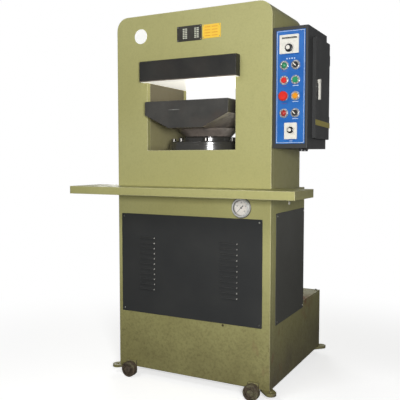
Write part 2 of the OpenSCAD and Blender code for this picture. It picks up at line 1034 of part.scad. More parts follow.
suction_x = pump_x + pump_len / 2;
return_x = valve_x + valve_w / 2;

// Electric motor on its feet, with cooling fins, a fan cover and a terminal box
module motor() {
    fins_x = [motor_x0 + motor_cap_len, motor_x0 + motor_len];
    core_r = motor_r - fin_h;
    fin_r = motor_r - fin_t / 2;
    half_foot = motor_foot_w / 2;
    color("#3c5866")
    translate([0, motor_y, 0]) {
        // The fins start inside the fan cover and stop short of the flange end
        translate([motor_x0, 0, motor_z]) rotate([0, 90, 0]) {
            cylinder(r = motor_r, h = motor_cap_len);
            cylinder(r = core_r, h = motor_len);
            for (i = [0 : fin_count - 1])
                rotate((i + fin_turn_share) * 360 / fin_count)
                    block([core_r - fin_h, fin_r], [-fin_t / 2, fin_t / 2],
                          [motor_cap_len - fin_h, motor_len - fin_h]);
        }
        block(inside(fins_x, motor_foot_h), [-half_foot, half_foot],
              [floor_top, floor_top + motor_foot_h]);
        block(inside(fins_x, motor_foot_h), [-half_foot / 2, half_foot / 2],
              [floor_top, motor_z]);
        block([fins_x[0] + motor_foot_h, fins_x[0] + motor_foot_h + motor_box_w],
              [-motor_box_w / 2, motor_box_w / 2], [motor_z, motor_z + motor_r + motor_box_h]);
    }
}

// Bell housing between motor and pump: a flange at each end and a tapered wall between them
module bell_housing() {
    wide = motor_r - fin_h;
    narrow = pump_w / 2;
    pump_flange = bell_len - bell_flange_t;
    color(steel)
    translate([motor_x0 + motor_len, motor_y, motor_z]) rotate([0, 90, 0])
        rotate_extrude()
            polygon([
                [0, 0], [wide, 0], [wide, bell_flange_t], [bell_r, bell_flange_t],
                [narrow - bell_flange_t, pump_flange], [narrow, pump_flange], [narrow, bell_len],
                [0, bell_len]
            ]);
}

module pump() {
    half = pump_w / 2;
    color(dark_olive) {
        block([pump_x, pump_x + pump_len], [motor_y - half, motor_y + half],
              [motor_z - half, motor_z + half]);
        block([pump_x + pump_len / 4, pump_x + pump_len - pump_len / 4],
              [motor_y - half, motor_y + half], [floor_top, motor_z]);
    }
}

module valve_block() {
    color(steel)
    block([valve_x, valve_x + valve_w], [valve_y, plate_in_y[1]], [valve_z, valve_z + valve_h]);
}

// Solenoid valve: a spool housing on the block, with a coil at each end
module solenoid_valve() {
    middle = [valve_x + valve_w / 2, valve_y - spool_w / 2, valve_z + valve_h / 2];
    color(black)
    translate(middle) {
        block([-spool_w / 2, spool_w / 2], [-spool_w / 2, spool_w / 2], [-spool_h / 2, spool_h / 2]);
        for (turn = [90, -90])
            rotate([0, turn, 0]) translate([0, 0, spool_w / 2]) cylinder(r = coil_r, h = coil_len);
    }
}

// Steel pipes: pump to valve, valve to cylinder, valve to gauge, and the two tank lines
module oil_pipes() {
    pump_top = motor_z + pump_w / 2;
    pipe_y = (valve_y + plate_in_y[1]) / 2;
    valve_mid = valve_z + valve_h / 2;
    valve_side = valve_x + valve_w;
    rise_z = barrel_z - pipe_drop;
    side_x = valve_side + pipe_side;
    gauge_end = front_y + gauge_back;
    color(steel) {
        pipe([[suction_x, motor_y, pump_top], [suction_x, motor_y, valve_mid],
              [suction_x, pipe_y, valve_mid], [valve_x, pipe_y, valve_mid]], pipe_r);
        pipe([[return_x, pipe_y, valve_z + valve_h], [return_x, pipe_y, rise_z],
              [0, pipe_y, rise_z], [0, 0, rise_z], [0, 0, barrel_z]], pipe_r);
        pipe([[valve_side, pipe_y, valve_mid], [side_x, pipe_y, valve_mid],
              [side_x, pipe_y, gauge_z], [side_x, gauge_pipe_y, gauge_z],
              [gauge_x, gauge_pipe_y, gauge_z], [gauge_x, gauge_end, gauge_z]], thin_pipe_r);
        pipe([[suction_x, motor_y + pump_w / 2, suction_z],
              [suction_x, cabinet_y + tank_reach, suction_z]], suction_r);
        pipe([[return_x, pipe_y, valve_z], [return_x, pipe_y, return_z],
              [return_x, cabinet_y + tank_reach, return_z]], pipe_r);
    }
}

// Control box: a sheet shell with an opening behind the panel and another under the door
module control_box() {
    color(black)
    difference() {
        sheet_z(box_zs) soft_rect(box_x, box_y, box_corner_r);
        block(inside(box_x, box_wall), inside(box_y, box_wall), inside(box_zs, box_wall));
        block(inside(panel_x, panel_lap), [box_y[0] - overrun, box_y[0] + box_wall + overrun],
              inside(panel_z, panel_lap));
        block([box_x[1] - box_wall - overrun, box_x[1] + overrun], inside(door_y, door_lap),
              inside(door_z, door_lap));
    }
}

// Places on the panel from shares of its width and height
function panel_place(shares) = [
    panel_x[0] + shares[0] * panel_w, panel_face, panel_z[0] + shares[1] * panel_h
];
function button_place(column, row) = panel_place([column_shares[column], row_shares[row]]);
controller_place = panel_place(controller_shares);
timer_place = panel_place(timer_shares);

module at_buttons() {
    for (column = [0, 1], row = [0 : len(row_shares) - 1])
        translate(button_place(column, row)) children();
}

module panel_hole(r) {
    bar_y([0, 0], r, around([0, panel_plate_t]));
}

module control_panel() {
    body = [controller_w / 2 - case_lap, controller_h / 2 - case_lap];
    color(blue)
    difference() {
        sheet_y([panel_face, box_y[0]]) soft_rect(panel_x, panel_z, case_corner_r);
        at_buttons() panel_hole(button_r + move_gap);
        translate(controller_place)
            block([-body[0] - seat_gap, body[0] + seat_gap], around([0, panel_plate_t]),
                  [-body[1] - seat_gap, body[1] + seat_gap]);
        translate(timer_place) panel_hole(timer_w / 2 - case_lap + seat_gap);
    }
}

module button_rings() {
    color(steel)
    at_buttons()
        turned_front([0, 0, 0])
            polygon([
                [button_r + move_gap, 0], [button_r + move_gap + ring_w, 0],
                [button_r + move_gap + ring_w, ring_h / 2], [button_r + move_gap + ring_w / 2, ring_h],
                [button_r + move_gap, ring_h]
            ]);
}

// Switch blocks behind the panel, each with the bore that its button or lamp moves in
module switch_blocks() {
    color(black)
    at_buttons()
        difference() {
            block([-block_w / 2, block_w / 2], [panel_plate_t, panel_plate_t + block_depth],
                  [-block_h / 2, block_h / 2]);
            bar_y([0, 0], button_r + move_gap, [panel_plate_t - overrun, block_bore]);
        }
}

// Face plate of a panel instrument, with the hole of its knob's shaft
module case_face(w, h, knob_share) {
    difference() {
        sheet_y([-case_face_h, 0])
            soft_rect([-w / 2, w / 2], [-h / 2, h / 2], case_corner_r);
        bar_y([0, knob_share * h], knob_shaft_r + shaft_gap,
              [-case_face_h - overrun, knob_shaft_l - case_face_h]);
    }
}

module controller_case() {
    body = [controller_w / 2 - case_lap, controller_h / 2 - case_lap];
    color(ivory)
    translate(controller_place)
        difference() {
            union() {
                case_face(controller_w, controller_h, controller_knob_share);
                block([-body[0], body[0]], [0, case_depth], [-body[1], body[1]]);
            }
            bar_y([0, controller_knob_share * controller_h], knob_shaft_r + shaft_gap,
                  [-overrun, knob_shaft_l - case_face_h]);
        }
}

module timer_case() {
    color(ivory)
    translate(timer_place)
        difference() {
            union() {
                case_face(timer_w, timer_h, timer_knob_share);
                bar_y([0, 0], timer_w / 2 - case_lap, [0, case_depth]);
            }
            bar_y([0, timer_knob_share * timer_h], knob_shaft_r + shaft_gap,
                  [-overrun, knob_shaft_l - case_face_h]);
        }
}

// Turning knob: a flat skirt, a narrower grip and the shaft behind it
module turn_knob(r) {
    base = case_face_h + move_gap;
    grip = knob_grip_share * r;
    turned_front([0, 0, 0]) {
        polygon([
            [0, base], [r, base], [r, base + knob_skirt_h / 2], [grip, base + knob_skirt_h],
            [grip, base + knob_h - button_bevel], [grip - button_bevel, base + knob_h],
            [0, base + knob_h]
        ]);
        rect([0, knob_shaft_r], [case_face_h - knob_shaft_l + move_gap, base]);
    }
}

module controller_knob() {
    color(black)
    translate(controller_place + [0, 0, controller_knob_share * controller_h])
        turn_knob(controller_knob_r);
}

module timer_knob() {
    color(black)
    translate(timer_place + [0, 0, timer_knob_share * timer_h]) turn_knob(timer_knob_r);
}

// Push button: a plain cap that dips into its switch block
module push_button(place) {
    turned_front(place)
        polygon([
            [0, -button_dip], [button_r, -button_dip], [button_r, button_h - button_bevel],
            [button_r - button_bevel, button_h], [0, button_h]
        ]);
}

module red_button() { color("#d8262a") push_button(button_place(0, 2)); }
module green_button() { color("#1f9a63") push_button(button_place(1, 2)); }
module yellow_button() { color("#f0a81c") push_button(button_place(1, 1)); }

// Stop button with its wide mushroom head
module stop_button() {
    head = stop_stem_h + stop_head_h;
    color("#e3271f")
    turned_front(button_place(0, 1))
        polygon([
            [0, -button_dip], [button_r, -button_dip], [button_r, stop_stem_h],
            [stop_r, stop_stem_h], [stop_r, head - stop_bevel], [stop_r - stop_bevel, head],
            [0, head]
        ]);
}

// Selector: a round skirt with a raised bar to turn it by
module selector(place) {
    top = selector_skirt_h + selector_bar_h;
    color(black)
    translate(place) {
        turned_front([0, 0, 0]) rect([0, button_r], [-button_dip, selector_skirt_h]);
        rotate([0, selector_turn, 0])
            block([-selector_bar_w / 2, selector_bar_w / 2], [-top, -selector_skirt_h / 2],
                  inside([-button_r, button_r], button_bevel));
    }
}

module upper_selector() { selector(button_place(1, 3)); }
module lower_selector() { selector(button_place(1, 0)); }

// Lamp: a domed lens that stands on the floor of its switch block
module lamp(place) {
    bore_floor = block_bore;
    dome_r = (button_r * button_r + lamp_h * lamp_h) / (2 * lamp_h);
    turned_front(place) {
        rect([0, button_r], [-bore_floor, button_bevel]);
        intersection() {
            translate([0, button_bevel + lamp_h - dome_r]) circle(dome_r);
            rect([0, button_r], [0, button_bevel + lamp_h]);
        }
    }
}

module panel_lamps() {
    color("#2fae74") lamp(button_place(0, 3));
    color("#c8402c") lamp(button_place(0, 0));
}

back_plate_x = [box_x[0] + box_wall, box_x[0] + box_wall + back_plate_t];
back_plate_y = [box_y[0] + box_wall + case_depth + back_plate_lap, box_y[1] - back_plate_lap];
back_plate_z = inside(box_zs, back_plate_lap);

module back_plate() {
    color(steel) block(back_plate_x, back_plate_y, back_plate_z);
}

// A row of two contactors and a terminal strip on the back plate
module contactors() {
    x0 = back_plate_x[1];
    row_y = inside(back_plate_y, back_plate_lap / 4);
    row_z = back_plate_z[1] - back_plate_lap;
    strip_z = back_plate_z[0] + back_plate_lap;
    color(black) {
        for (y = [row_y[0], row_y[1] - contactor_w])
            block([x0, x0 + contactor_depth], [y, y + contactor_w], [row_z - contactor_h, row_z]);
        block([x0, x0 + terminal_depth], row_y, [strip_z, strip_z + terminal_h]);
    }
}

// Cable glands under the control box
module box_glands() {
    color(black)
    for (i = [0, 1])
        translate([box_x[1] - gland_inset, box_y[0] + gland_inset + i * gland_pitch, box_z])
            mirror([0, 0, 1]) {
                cylinder(r = gland_nut_r, h = gland_nut_h, $fn = 6);
                cylinder(r = gland_r, h = gland_h);
            }
}

// A hinge leaf from a barrel to the box's rear wall
module door_hinges() {
    color(steel)
    for (z = hinge_zs) {
        translate([hinge_x, hinge_y, z]) {
            cylinder(r = hinge_r, h = hinge_h);
            cylinder(r = hinge_pin_r, h = 2 * hinge_h);
        }
        block([hinge_x - hinge_leaf_w, hinge_x], [box_y[1], box_y[1] + hinge_leaf_t], [z, z + hinge_h]);
    }
}

// Door: a folded tray over its opening, with hinge barrels at the rear
module box_door() {
    color(black)
    difference() {
        union() {
            difference() {
                sheet_x(door_x) soft_rect(door_y, door_z, door_corner_r);
                sheet_x([door_x[0] - overrun, door_x[1] - door_sheet])
                    soft_rect(inside(door_y, door_sheet), inside(door_z, door_sheet),
                              door_corner_r - door_sheet);
            }
            for (z = hinge_zs) {
                barrel_zs = [z + hinge_h + move_gap, z + 2 * hinge_h];
                translate([hinge_x, hinge_y, barrel_zs[0]])
                    cylinder(r = hinge_r, h = barrel_zs[1] - barrel_zs[0]);
                block([hinge_x, hinge_x + hinge_leaf_t], [door_y[1] - overrun, hinge_y], barrel_zs);
            }
        }
        for (z = hinge_zs)
            translate([hinge_x, hinge_y, z + hinge_h])
                cylinder(r = hinge_pin_r + shaft_gap, h = hinge_h + overrun);
        translate([door_x[0], handle_y, handle_z])
            rotate([0, 90, 0])
                cylinder(r = handle_shaft_r + shaft_gap, h = door_proud + overrun);
    }
}

// Door handle: a lever that hangs down, its shaft through the door and the cam inside
module door_handle() {
    face = door_x[1] + move_gap;
    hub_end = face + handle_hub_h;
    color(ivory)
    translate([0, handle_y, handle_z]) {
        translate([door_x[0], 0, 0]) rotate([0, 90, 0])
            cylinder(r = handle_shaft_r, h = hub_end - door_x[0]);
        translate([face, 0, 0]) rotate([0, 90, 0]) cylinder(r = handle_hub_r, h = handle_hub_h);
        sheet_x([hub_end - handle_t, hub_end]) {
            rect([-handle_w / 2, handle_w / 2], [-handle_len, 0]);
            translate([0, -handle_len]) circle(handle_w / 2);
        }
        block([door_x[0], door_x[0] + cam_t], [-cam_len, handle_shaft_r], [-cam_w / 2, cam_w / 2]);
    }
}

front_plate();
rear_plate();
side_shell();
column_liners();
bed_plate();
crown_plate();
upper_platen();
base_floor();
side_panels();
rear_panel();
front_cover();
side_covers();
shelf();
oil_tank();
tank_lid();
filler_cap();
foot_lugs();
axle_stubs();
axle_caps();
gauge_case();
gauge_dial();
gauge_lens();
gauge_needle();
cylinder_body();
cylinder_head();
head_bolts();
wiper_ring();
ram();
ram_table();
motor();
bell_housing();
pump();
valve_block();
solenoid_valve();
oil_pipes();
control_box();
control_panel();
controller_case();
timer_case();
button_rings();
switch_blocks();
panel_lamps();
back_plate();
contactors();
box_glands();
door_hinges();
box_door();
door_handle();
controller_knob();
timer_knob();
upper_selector();
lower_selector();
red_button();
green_button();
yellow_button();
stop_button();
wheel_front_left();
wheel_front_right();
wheel_rear_left();
wheel_rear_right();
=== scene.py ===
# %% [markdown]
# # A hydraulic moulding press, dressed in Blender
#
# The press is a welded steel frame painted olive green. A black table rises on a ram towards a fixed
# upper platen, a blue panel of buttons hangs on the right, and a louvred black cover hides the pump.
# The solids come in ready and at full size, so this lesson only adds what a drawing office leaves out:
# paint, rubbed edges, oil, rust, screws, printed lines and small plates.

# %% Load the solids
import math

import bmesh
import bpy
from mathutils import Matrix, Vector


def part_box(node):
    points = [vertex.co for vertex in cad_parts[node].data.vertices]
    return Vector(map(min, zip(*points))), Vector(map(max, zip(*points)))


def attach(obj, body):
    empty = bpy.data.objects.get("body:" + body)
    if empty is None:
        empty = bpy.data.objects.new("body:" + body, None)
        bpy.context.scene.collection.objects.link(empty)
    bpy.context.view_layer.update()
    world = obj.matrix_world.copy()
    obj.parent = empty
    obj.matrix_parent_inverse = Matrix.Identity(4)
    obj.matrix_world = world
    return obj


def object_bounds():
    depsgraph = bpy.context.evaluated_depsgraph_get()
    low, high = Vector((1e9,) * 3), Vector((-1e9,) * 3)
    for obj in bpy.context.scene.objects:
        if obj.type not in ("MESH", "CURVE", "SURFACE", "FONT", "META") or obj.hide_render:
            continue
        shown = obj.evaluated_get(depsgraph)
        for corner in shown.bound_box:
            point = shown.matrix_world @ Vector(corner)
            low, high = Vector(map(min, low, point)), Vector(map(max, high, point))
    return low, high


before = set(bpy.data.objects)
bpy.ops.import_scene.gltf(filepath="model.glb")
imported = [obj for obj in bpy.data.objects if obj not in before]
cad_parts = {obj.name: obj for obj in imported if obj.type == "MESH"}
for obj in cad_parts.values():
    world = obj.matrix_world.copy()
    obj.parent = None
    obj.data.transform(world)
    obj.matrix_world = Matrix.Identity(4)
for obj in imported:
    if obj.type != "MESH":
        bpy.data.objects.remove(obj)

cad_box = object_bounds()
MM = 0.001

# %% [markdown]
# ## The camera
#
# The photograph was taken about a metre above the floor, some three metres off and to the right of the
# press. The uprights in it stay nearly upright, so the camera looks only a few degrees down. Placing it by
# numbers, and not by eye, keeps the vanishing lines of the shelf and the control box true.

# %% Place the camera
scene = bpy.context.scene
scene.view_settings.view_transform = "Standard"

CAMERA_PLACE = (1.3332, -2.6181, 1.0641)
CAMERA_LOOKS_DOWN = 3.81
CAMERA_TURNED = 27.80
SENSOR_WIDTH = 36.0
FOCAL_LENGTH = 53.93

lens = bpy.data.cameras.new("press_camera")
lens.sensor_width = SENSOR_WIDTH
lens.lens = FOCAL_LENGTH
camera = bpy.data.objects.new("press_camera", lens)
camera.location = CAMERA_PLACE
camera.rotation_euler = (math.radians(90 - CAMERA_LOOKS_DOWN), 0, math.radians(CAMERA_TURNED))
scene.collection.objects.link(camera)
scene.camera = camera
print("camera stands", round(camera.location.xy.length, 2), "m from the axis of the ram")

# %% [markdown]
# ## Colours as they are seen
#
# A colour is easiest to name as it looks on a screen, from 0 to 255. Shaders count light instead. So one
# small function takes each colour of the press through the standard screen curve.

# %% Turn screen colours into light
def screen(red, green, blue):
    """A shader colour from three screen values between 0 and 255."""
    def light(value):
        share = value / 255
        return share / 12.92 if share <= 0.04045 else ((share + 0.055) / 1.055) ** 2.4
    return (light(red), light(green), light(blue), 1.0)


print("mid grey in light:", round(screen(128, 128, 128)[0], 3))

# %% [markdown]
# ## A short way to make nodes
#
# Background, floor and paint are all built from nodes, small boxes that each do one sum and are wired
# together. They can be wired by hand in the shader editor. In a script each one takes three or four
# lines, so this class gives short calls for the few kinds that the lesson needs.

# %% Make nodes with short calls
# Which inputs and which output a mix node uses, for numbers and for colours
MIX_SOCKETS = {"FLOAT": ((0, 2, 3), 0), "RGBA": ((0, 6, 7), 2)}


class Nodes:
    """Short calls that make nodes in one tree and wire them."""

    def __init__(self, tree):
        self.tree = tree

    def put(self, socket, value):
        """Links a socket to another one, or sets its plain value."""
        if isinstance(value, bpy.types.NodeSocket):
            self.tree.links.new(value, socket)
        else:
            socket.default_value = value

    def fill(self, node, values):
        """Fills sockets by name, with underscores for the spaces."""
        for name, value in values.items():
            self.put(node.inputs[name.replace("_", " ")], value)

    def node(self, kind, settings=None, **values):
        """A new node with some settings made and some sockets filled."""
        made = self.tree.nodes.new(kind)
        for name, value in (settings or {}).items():
            setattr(made, name, value)
        self.fill(made, values)
        return made

    def join(self, kind, *values, **settings):
        """A new node whose sockets are filled in their order."""
        made = self.node(kind, settings)
        for socket, value in zip(made.inputs, values):
            self.put(socket, value)
        return made

    def math(self, operation, first, second=0.0):
        """A number worked out from two others."""
        return self.join("ShaderNodeMath", first, second, operation=operation).outputs[0]

    def times(self, first, second):
        """The product of two numbers, which joins two masks."""
        return self.math("MULTIPLY", first, second)

    def measure(self, operation, first, second):
        """A number from two vectors, such as their distance or how alike they point."""
        return self.join("ShaderNodeVectorMath", first, second, operation=operation).outputs["Value"]

    def spread(self, value, low, high, to_low=0.0, to_high=1.0, curve="LINEAR"):
        """Stretches low..high of a value over to_low..to_high, and holds it there."""
        made = self.node("ShaderNodeMapRange", {"interpolation_type": curve}, Value=value,
                         From_Min=low, From_Max=high, To_Min=to_low, To_Max=to_high)
        return made.outputs["Result"]

    def blend(self, share, first, second, kind="RGBA"):
        """First value where share is 0, second where it is 1; FLOAT blends numbers, RGBA colours."""
        made = self.node("ShaderNodeMix", {"data_type": kind})
        sockets, result = MIX_SOCKETS[kind]
        for socket, value in zip(sockets, (share, first, second)):
            self.put(made.inputs[socket], value)
        return made.outputs[result]


print("kinds of blend:", sorted(MIX_SOCKETS))

# %% [markdown]
# ## Light
#
# The upper half of the press is the brightest, and its right side stays darker than the front. So one lamp
# hangs high in front, a little to the left. A second one beside the camera acts as its flash: it opens the
# shade under the shelf and fades towards the rear. A third stands behind, for views from there. A sun lamp
# would light all heights alike, and its hard shadows wouldn't suit a workshop, so all three are area lamps.

# %% Hang the lamps
def lamp(name, place, target, width, height, power):
    """A soft rectangular lamp at a place, turned to a target."""
    data = bpy.data.lights.new(name, "AREA")
    data.shape = "RECTANGLE"
    data.size = width
    data.size_y = height
    data.energy = power
    made = bpy.data.objects.new(name, data)
    made.location = place
    made.rotation_euler = (Vector(target) - Vector(place)).to_track_quat("-Z", "Y").to_euler()
    made.visible_camera = False
    scene.collection.objects.link(made)


lamp("key_lamp", place=(-0.6, -2.4, 2.9), target=(0.0, -0.2, 1.6), width=1.2, height=0.9, power=22)
lamp("camera_flash", place=(1.6, -2.6, 1.2), target=(-0.05, -0.15, 1.15), width=0.6, height=0.6, power=62)
lamp("rear_fill", place=(-1.8, 3.0, 1.6), target=(0.0, 0.2, 0.9), width=1.8, height=1.8, power=36)

# %% [markdown]
# ## Background
#
# The machine stands alone on white. A white wall or a bright sky would do, but both would also light the
# press from all sides. Here the world looks at the kind of ray instead. It is white to the camera and
# through glass, and dim to the paint. Mirrors see a dim room with one white sheet hung behind the press,
# which gives the chrome and the oily black something to reflect.

# %% Paint the background white
WHITE = (1.0, 1.0, 1.0, 1.0)
SKY_ON_PAINT = 0.07
ROOM_IN_MIRRORS = 0.22
SHEET_DIRECTION = Vector((-0.47, 0.88, 0.0))
SHEET_STARTS, SHEET_FULL = 0.72, 0.92

world = bpy.data.worlds.new("white_room")
world.use_nodes = True
scene.world = world
sky = Nodes(world.node_tree)
rays = sky.node("ShaderNodeLightPath").outputs
direction = sky.node("ShaderNodeTexCoord").outputs["Generated"]
facing_sheet = sky.measure("DOT_PRODUCT", direction, SHEET_DIRECTION)
mirrored = sky.spread(facing_sheet, SHEET_STARTS, SHEET_FULL, ROOM_IN_MIRRORS)
strength = sky.blend(rays["Is Glossy Ray"], SKY_ON_PAINT, mirrored, "FLOAT")
for clear_ray in ("Is Transmission Ray", "Is Camera Ray"):
    strength = sky.blend(rays[clear_ray], strength, 1.0, "FLOAT")
sky.fill(world.node_tree.nodes["Background"], {"Color": WHITE, "Strength": strength})
print("sky on paint:", SKY_ON_PAINT, "room in mirrors:", ROOM_IN_MIRRORS)

# %% [markdown]
# ## The floor
#
# The press stands on a floor, and its shadow shows that it does. A plain white plane would end in an edge,
# so the floor is a disc that fades to pure white before its rim. The camera sees it pale, lifted by a
# little light of its own. To the paint it is the dark floor of a workshop, so the base keeps its shade.

# %% Lay the floor
FLOOR_RADIUS = 5.0
FADE_START = 0.9
FADE_END = 2.2
FLOOR_TONE = (0.82, 0.82, 0.81, 1.0)
FLOOR_LIFT = 0.62
FLOOR_BOUNCE = (0.2, 0.2, 0.2, 1.0)


def floor_paint():
    """Pale with a soft shadow near the press, white farther out, and dark to all but the camera."""
    paint = bpy.data.materials.new("pale_floor")
    paint.use_nodes = True
    paint.node_tree.nodes.clear()
    n = Nodes(paint.node_tree)
    place = n.node("ShaderNodeTexCoord").outputs["Object"]
    fade = n.spread(n.measure("LENGTH", place, (0.0, 0.0, 0.0)), FADE_START, FADE_END, curve="SMOOTHSTEP")
    matte = n.node("ShaderNodeBsdfDiffuse", Color=FLOOR_TONE).outputs[0]
    dark = n.node("ShaderNodeBsdfDiffuse", Color=FLOOR_BOUNCE).outputs[0]
    lift = n.node("ShaderNodeEmission", Strength=FLOOR_LIFT).outputs[0]
    white = n.node("ShaderNodeEmission").outputs[0]
    pale = n.join("ShaderNodeAddShader", matte, lift).outputs[0]
    faded = n.join("ShaderNodeMixShader", fade, pale, white).outputs[0]
    seen = n.node("ShaderNodeLightPath").outputs["Is Camera Ray"]
    n.node("ShaderNodeOutputMaterial", Surface=n.join("ShaderNodeMixShader", seen, dark, faded).outputs[0])
    return paint


disc = bmesh.new()
bmesh.ops.create_circle(disc, cap_ends=True, segments=96, radius=FLOOR_RADIUS)
floor_mesh = bpy.data.meshes.new("floor")
disc.to_mesh(floor_mesh)
disc.free()
floor_mesh.materials.append(floor_paint())
floor = bpy.data.objects.new("floor", floor_mesh)
floor.location.z = cad_box[0].z
scene.collection.objects.link(floor)
print("floor lies at", round(floor.location.z, 4))

# %% [markdown]
# ## A small kit for finishes
#
# Every finish here is built from the same few moves: a noise that varies a tone, a mask that finds a
# height, a direction or an edge, a blend of two colours, a bump. Textures read object coordinates, which
# are metres in the frame of the press. So a scale means the same on every piece, and nothing has to be
# unwrapped for an image.

# %% Make the finish kit
BEVEL_SAMPLES = 6
# How alike a rounded and a plain normal point, where an edge starts and where it is full
EDGE_STARTS, EDGE_FULL = 0.97, 0.78


class Finish(Nodes):
    """One material in the making, with masks that find a place, a direction or an edge."""

    def __init__(self, name, **shader):
        self.material = bpy.data.materials.new(name)
        self.material.use_nodes = True
        super().__init__(self.material.node_tree)
        self.shader = self.tree.nodes["Principled BSDF"]
        self.place = self.node("ShaderNodeTexCoord").outputs["Object"]
        self.fill(self.shader, shader)

    def noise(self, scale, detail=4.0, rough=0.55, stretch=(1.0, 1.0, 1.0)):
        """Cloudy noise; a stretch below 1 draws it out along that axis."""
        place = self.node("ShaderNodeMapping", Vector=self.place, Scale=stretch).outputs["Vector"]
        made = self.node("ShaderNodeTexNoise", Vector=place, Scale=scale, Detail=detail, Roughness=rough)
        return made.outputs["Fac"]

    def axis(self, name):
        """One coordinate of the place on the press, in metres."""
        return self.node("ShaderNodeSeparateXYZ", Vector=self.place).outputs[name]

    def facing(self, name):
        """One part of the direction that the surface faces."""
        normal = self.node("ShaderNodeNewGeometry").outputs["Normal"]
        return self.node("ShaderNodeSeparateXYZ", Vector=normal).outputs[name]

    def near(self, spot, reach):
        """One at a spot on the press, fading to zero at that reach."""
        return self.spread(self.measure("DISTANCE", self.place, spot), reach, 0.0)

    def from_axis(self, spot):
        """Distance from a line that runs straight back through a spot."""
        flat = self.join("ShaderNodeVectorMath", self.place, (1.0, 0.0, 1.0), operation="MULTIPLY")
        return self.measure("DISTANCE", flat.outputs["Vector"], (spot.x, 0.0, spot.z))

    def line(self, start, end, height, thick):
        """One on a level line across the front, from one x to another, fading to its ends."""
        middle = (start + end) / 2
        half = (end - start) / 2
        along = self.math("ABSOLUTE", self.math("SUBTRACT", self.axis("X"), middle))
        across = self.math("ABSOLUTE", self.math("SUBTRACT", self.axis("Z"), height))
        spot = self.times(self.spread(along, half, 0.3 * half), self.spread(across, thick, 0.4 * thick))
        return self.times(spot, self.spread(self.facing("Y"), -0.5, -0.9))

    def rounded(self, radius):
        """A normal that rounds every edge over a radius."""
        return self.node("ShaderNodeBevel", {"samples": BEVEL_SAMPLES}, Radius=radius).outputs["Normal"]

    def edges(self, rounded):
        """One along the edges, where a rounded normal leaves the plain one."""
        plain = self.node("ShaderNodeNewGeometry").outputs["Normal"]
        return self.spread(self.measure("DOT_PRODUCT", rounded, plain), EDGE_STARTS, EDGE_FULL)

    def bump(self, height, distance, normal):
        """A normal that follows a height over a distance."""
        return self.node("ShaderNodeBump", Height=height, Distance=distance, Normal=normal).outputs["Normal"]

    def done(self, **shader):
        """Fills the last shader sockets and hands over the material."""
        self.fill(self.shader, shader)
        return self.material


print("moves of the kit:", [name for name in vars(Finish) if not name.startswith("_")])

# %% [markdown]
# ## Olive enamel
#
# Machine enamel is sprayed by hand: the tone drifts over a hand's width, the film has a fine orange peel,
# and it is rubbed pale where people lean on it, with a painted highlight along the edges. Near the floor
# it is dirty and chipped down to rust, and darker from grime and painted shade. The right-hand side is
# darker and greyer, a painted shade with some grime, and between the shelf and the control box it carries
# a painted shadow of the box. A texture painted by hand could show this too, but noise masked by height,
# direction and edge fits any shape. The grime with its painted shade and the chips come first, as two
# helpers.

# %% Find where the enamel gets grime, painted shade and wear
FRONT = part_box("front_plate")[0].y
SCUFF, SCUFF_REACH = (0.4, -0.08, 0.2), 0.24
RUST_PATCH, PATCH_REACH = (0.37, 0.33, 0.361), 0.13
BOX_SHADOW_FROM, BOX_SHADOW_TO = (0.9, 0.92), (1.14, 1.12)
# Grime colours that also carry painted shade, greyer on the right-hand side.
GRIME_AND_SHADE, SIDE_GRIME_AND_SHADE = screen(104, 96, 60), screen(104, 96, 84)
DARK_SPECKS = screen(92, 82, 54)


def dirtied_and_shaded(f, colour, low):
    """Grime and painted shade over a colour, most low down and on the right-hand side, and dark specks."""
    # Painted shade: faces that look right are darkened and greyed, along with some grime.
    right = f.spread(f.facing("X"), 0.3, 0.9)
    clouds = f.times(low, f.spread(f.noise(6, detail=6), 0.4, 0.75))
    # Darker towards the floor: grime with a painted shade.
    film = f.math("ADD", f.times(low, f.spread(right, 0.0, 1.0, 0.52, 0.72)), f.times(clouds, 0.3))
    # Painted shadow of the control box on the right-hand side, between the shelf and the box.
    box_shadow = f.times(f.spread(f.axis("Z"), *BOX_SHADOW_FROM), f.spread(f.axis("Z"), *BOX_SHADOW_TO, 0.0, 0.3))
    film = f.math("MAXIMUM", film, f.times(right, box_shadow))
    colour = f.blend(film, colour, f.blend(right, GRIME_AND_SHADE, SIDE_GRIME_AND_SHADE))
    specks = f.spread(f.noise(75, detail=8, rough=0.7), 0.46, 0.66, 0.0, 0.4)
    return f.blend(f.times(f.spread(low, 0.1, 0.7), specks), colour, DARK_SPECKS)


def chipped(f, low):
    """One where the film is gone: chips low down, a scuff on the right and a rusty patch on the tank."""
    chips = f.times(f.spread(f.noise(38, detail=9, rough=0.7), 0.69, 0.71), f.spread(low, 0.3, 0.9))
    streaks = f.spread(f.noise(24, detail=8, stretch=(1, 1, 0.4)), 0.6, 0.66)
    scuff = f.times(f.near(SCUFF, SCUFF_REACH), streaks)
    patch = f.times(f.near(RUST_PATCH, PATCH_REACH), f.spread(f.noise(17, detail=6), 0.36, 0.6))
    return f.math("MAXIMUM", f.math("MAXIMUM", chips, f.times(scuff, 0.5)), patch)


print("front of the press at y =", round(FRONT, 4))

# %% [markdown]
# ## Layers of the enamel
#
# The finish itself is a stack of thin layers, each blended over the one before: the sprayed tone, a painted
# shade high up inside the window, edges rubbed pale with a painted highlight, grime with a painted shade,
# and last the rust. One dark chip under the front cover has a place of its own. The liners of the window
# take the same stack in darker tones, a painted shade, which one function with a few settings can give,
# where a second set of nodes would drift apart from the first.

# %% Mix the olive enamel
LOW_TOP, LOW_FULL = 0.62, 0.03
DARK_CHIP = (170 * MM, FRONT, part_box("front_cover")[0].z - 9 * MM)
DARK_CHIP_REACH = 8 * MM
MOTTLE, GRAIN = screen(150, 146, 96), screen(142, 138, 90)
# Painted shade high up inside the window.
WINDOW_TOP_SHADE = screen(113, 106, 84)
# Pale edge tone: rubbed paint with a painted highlight.
RUBBED_AND_LIT = screen(230, 226, 184)
RUST = screen(134, 92, 74)
OLD_PAINT = screen(76, 66, 46)


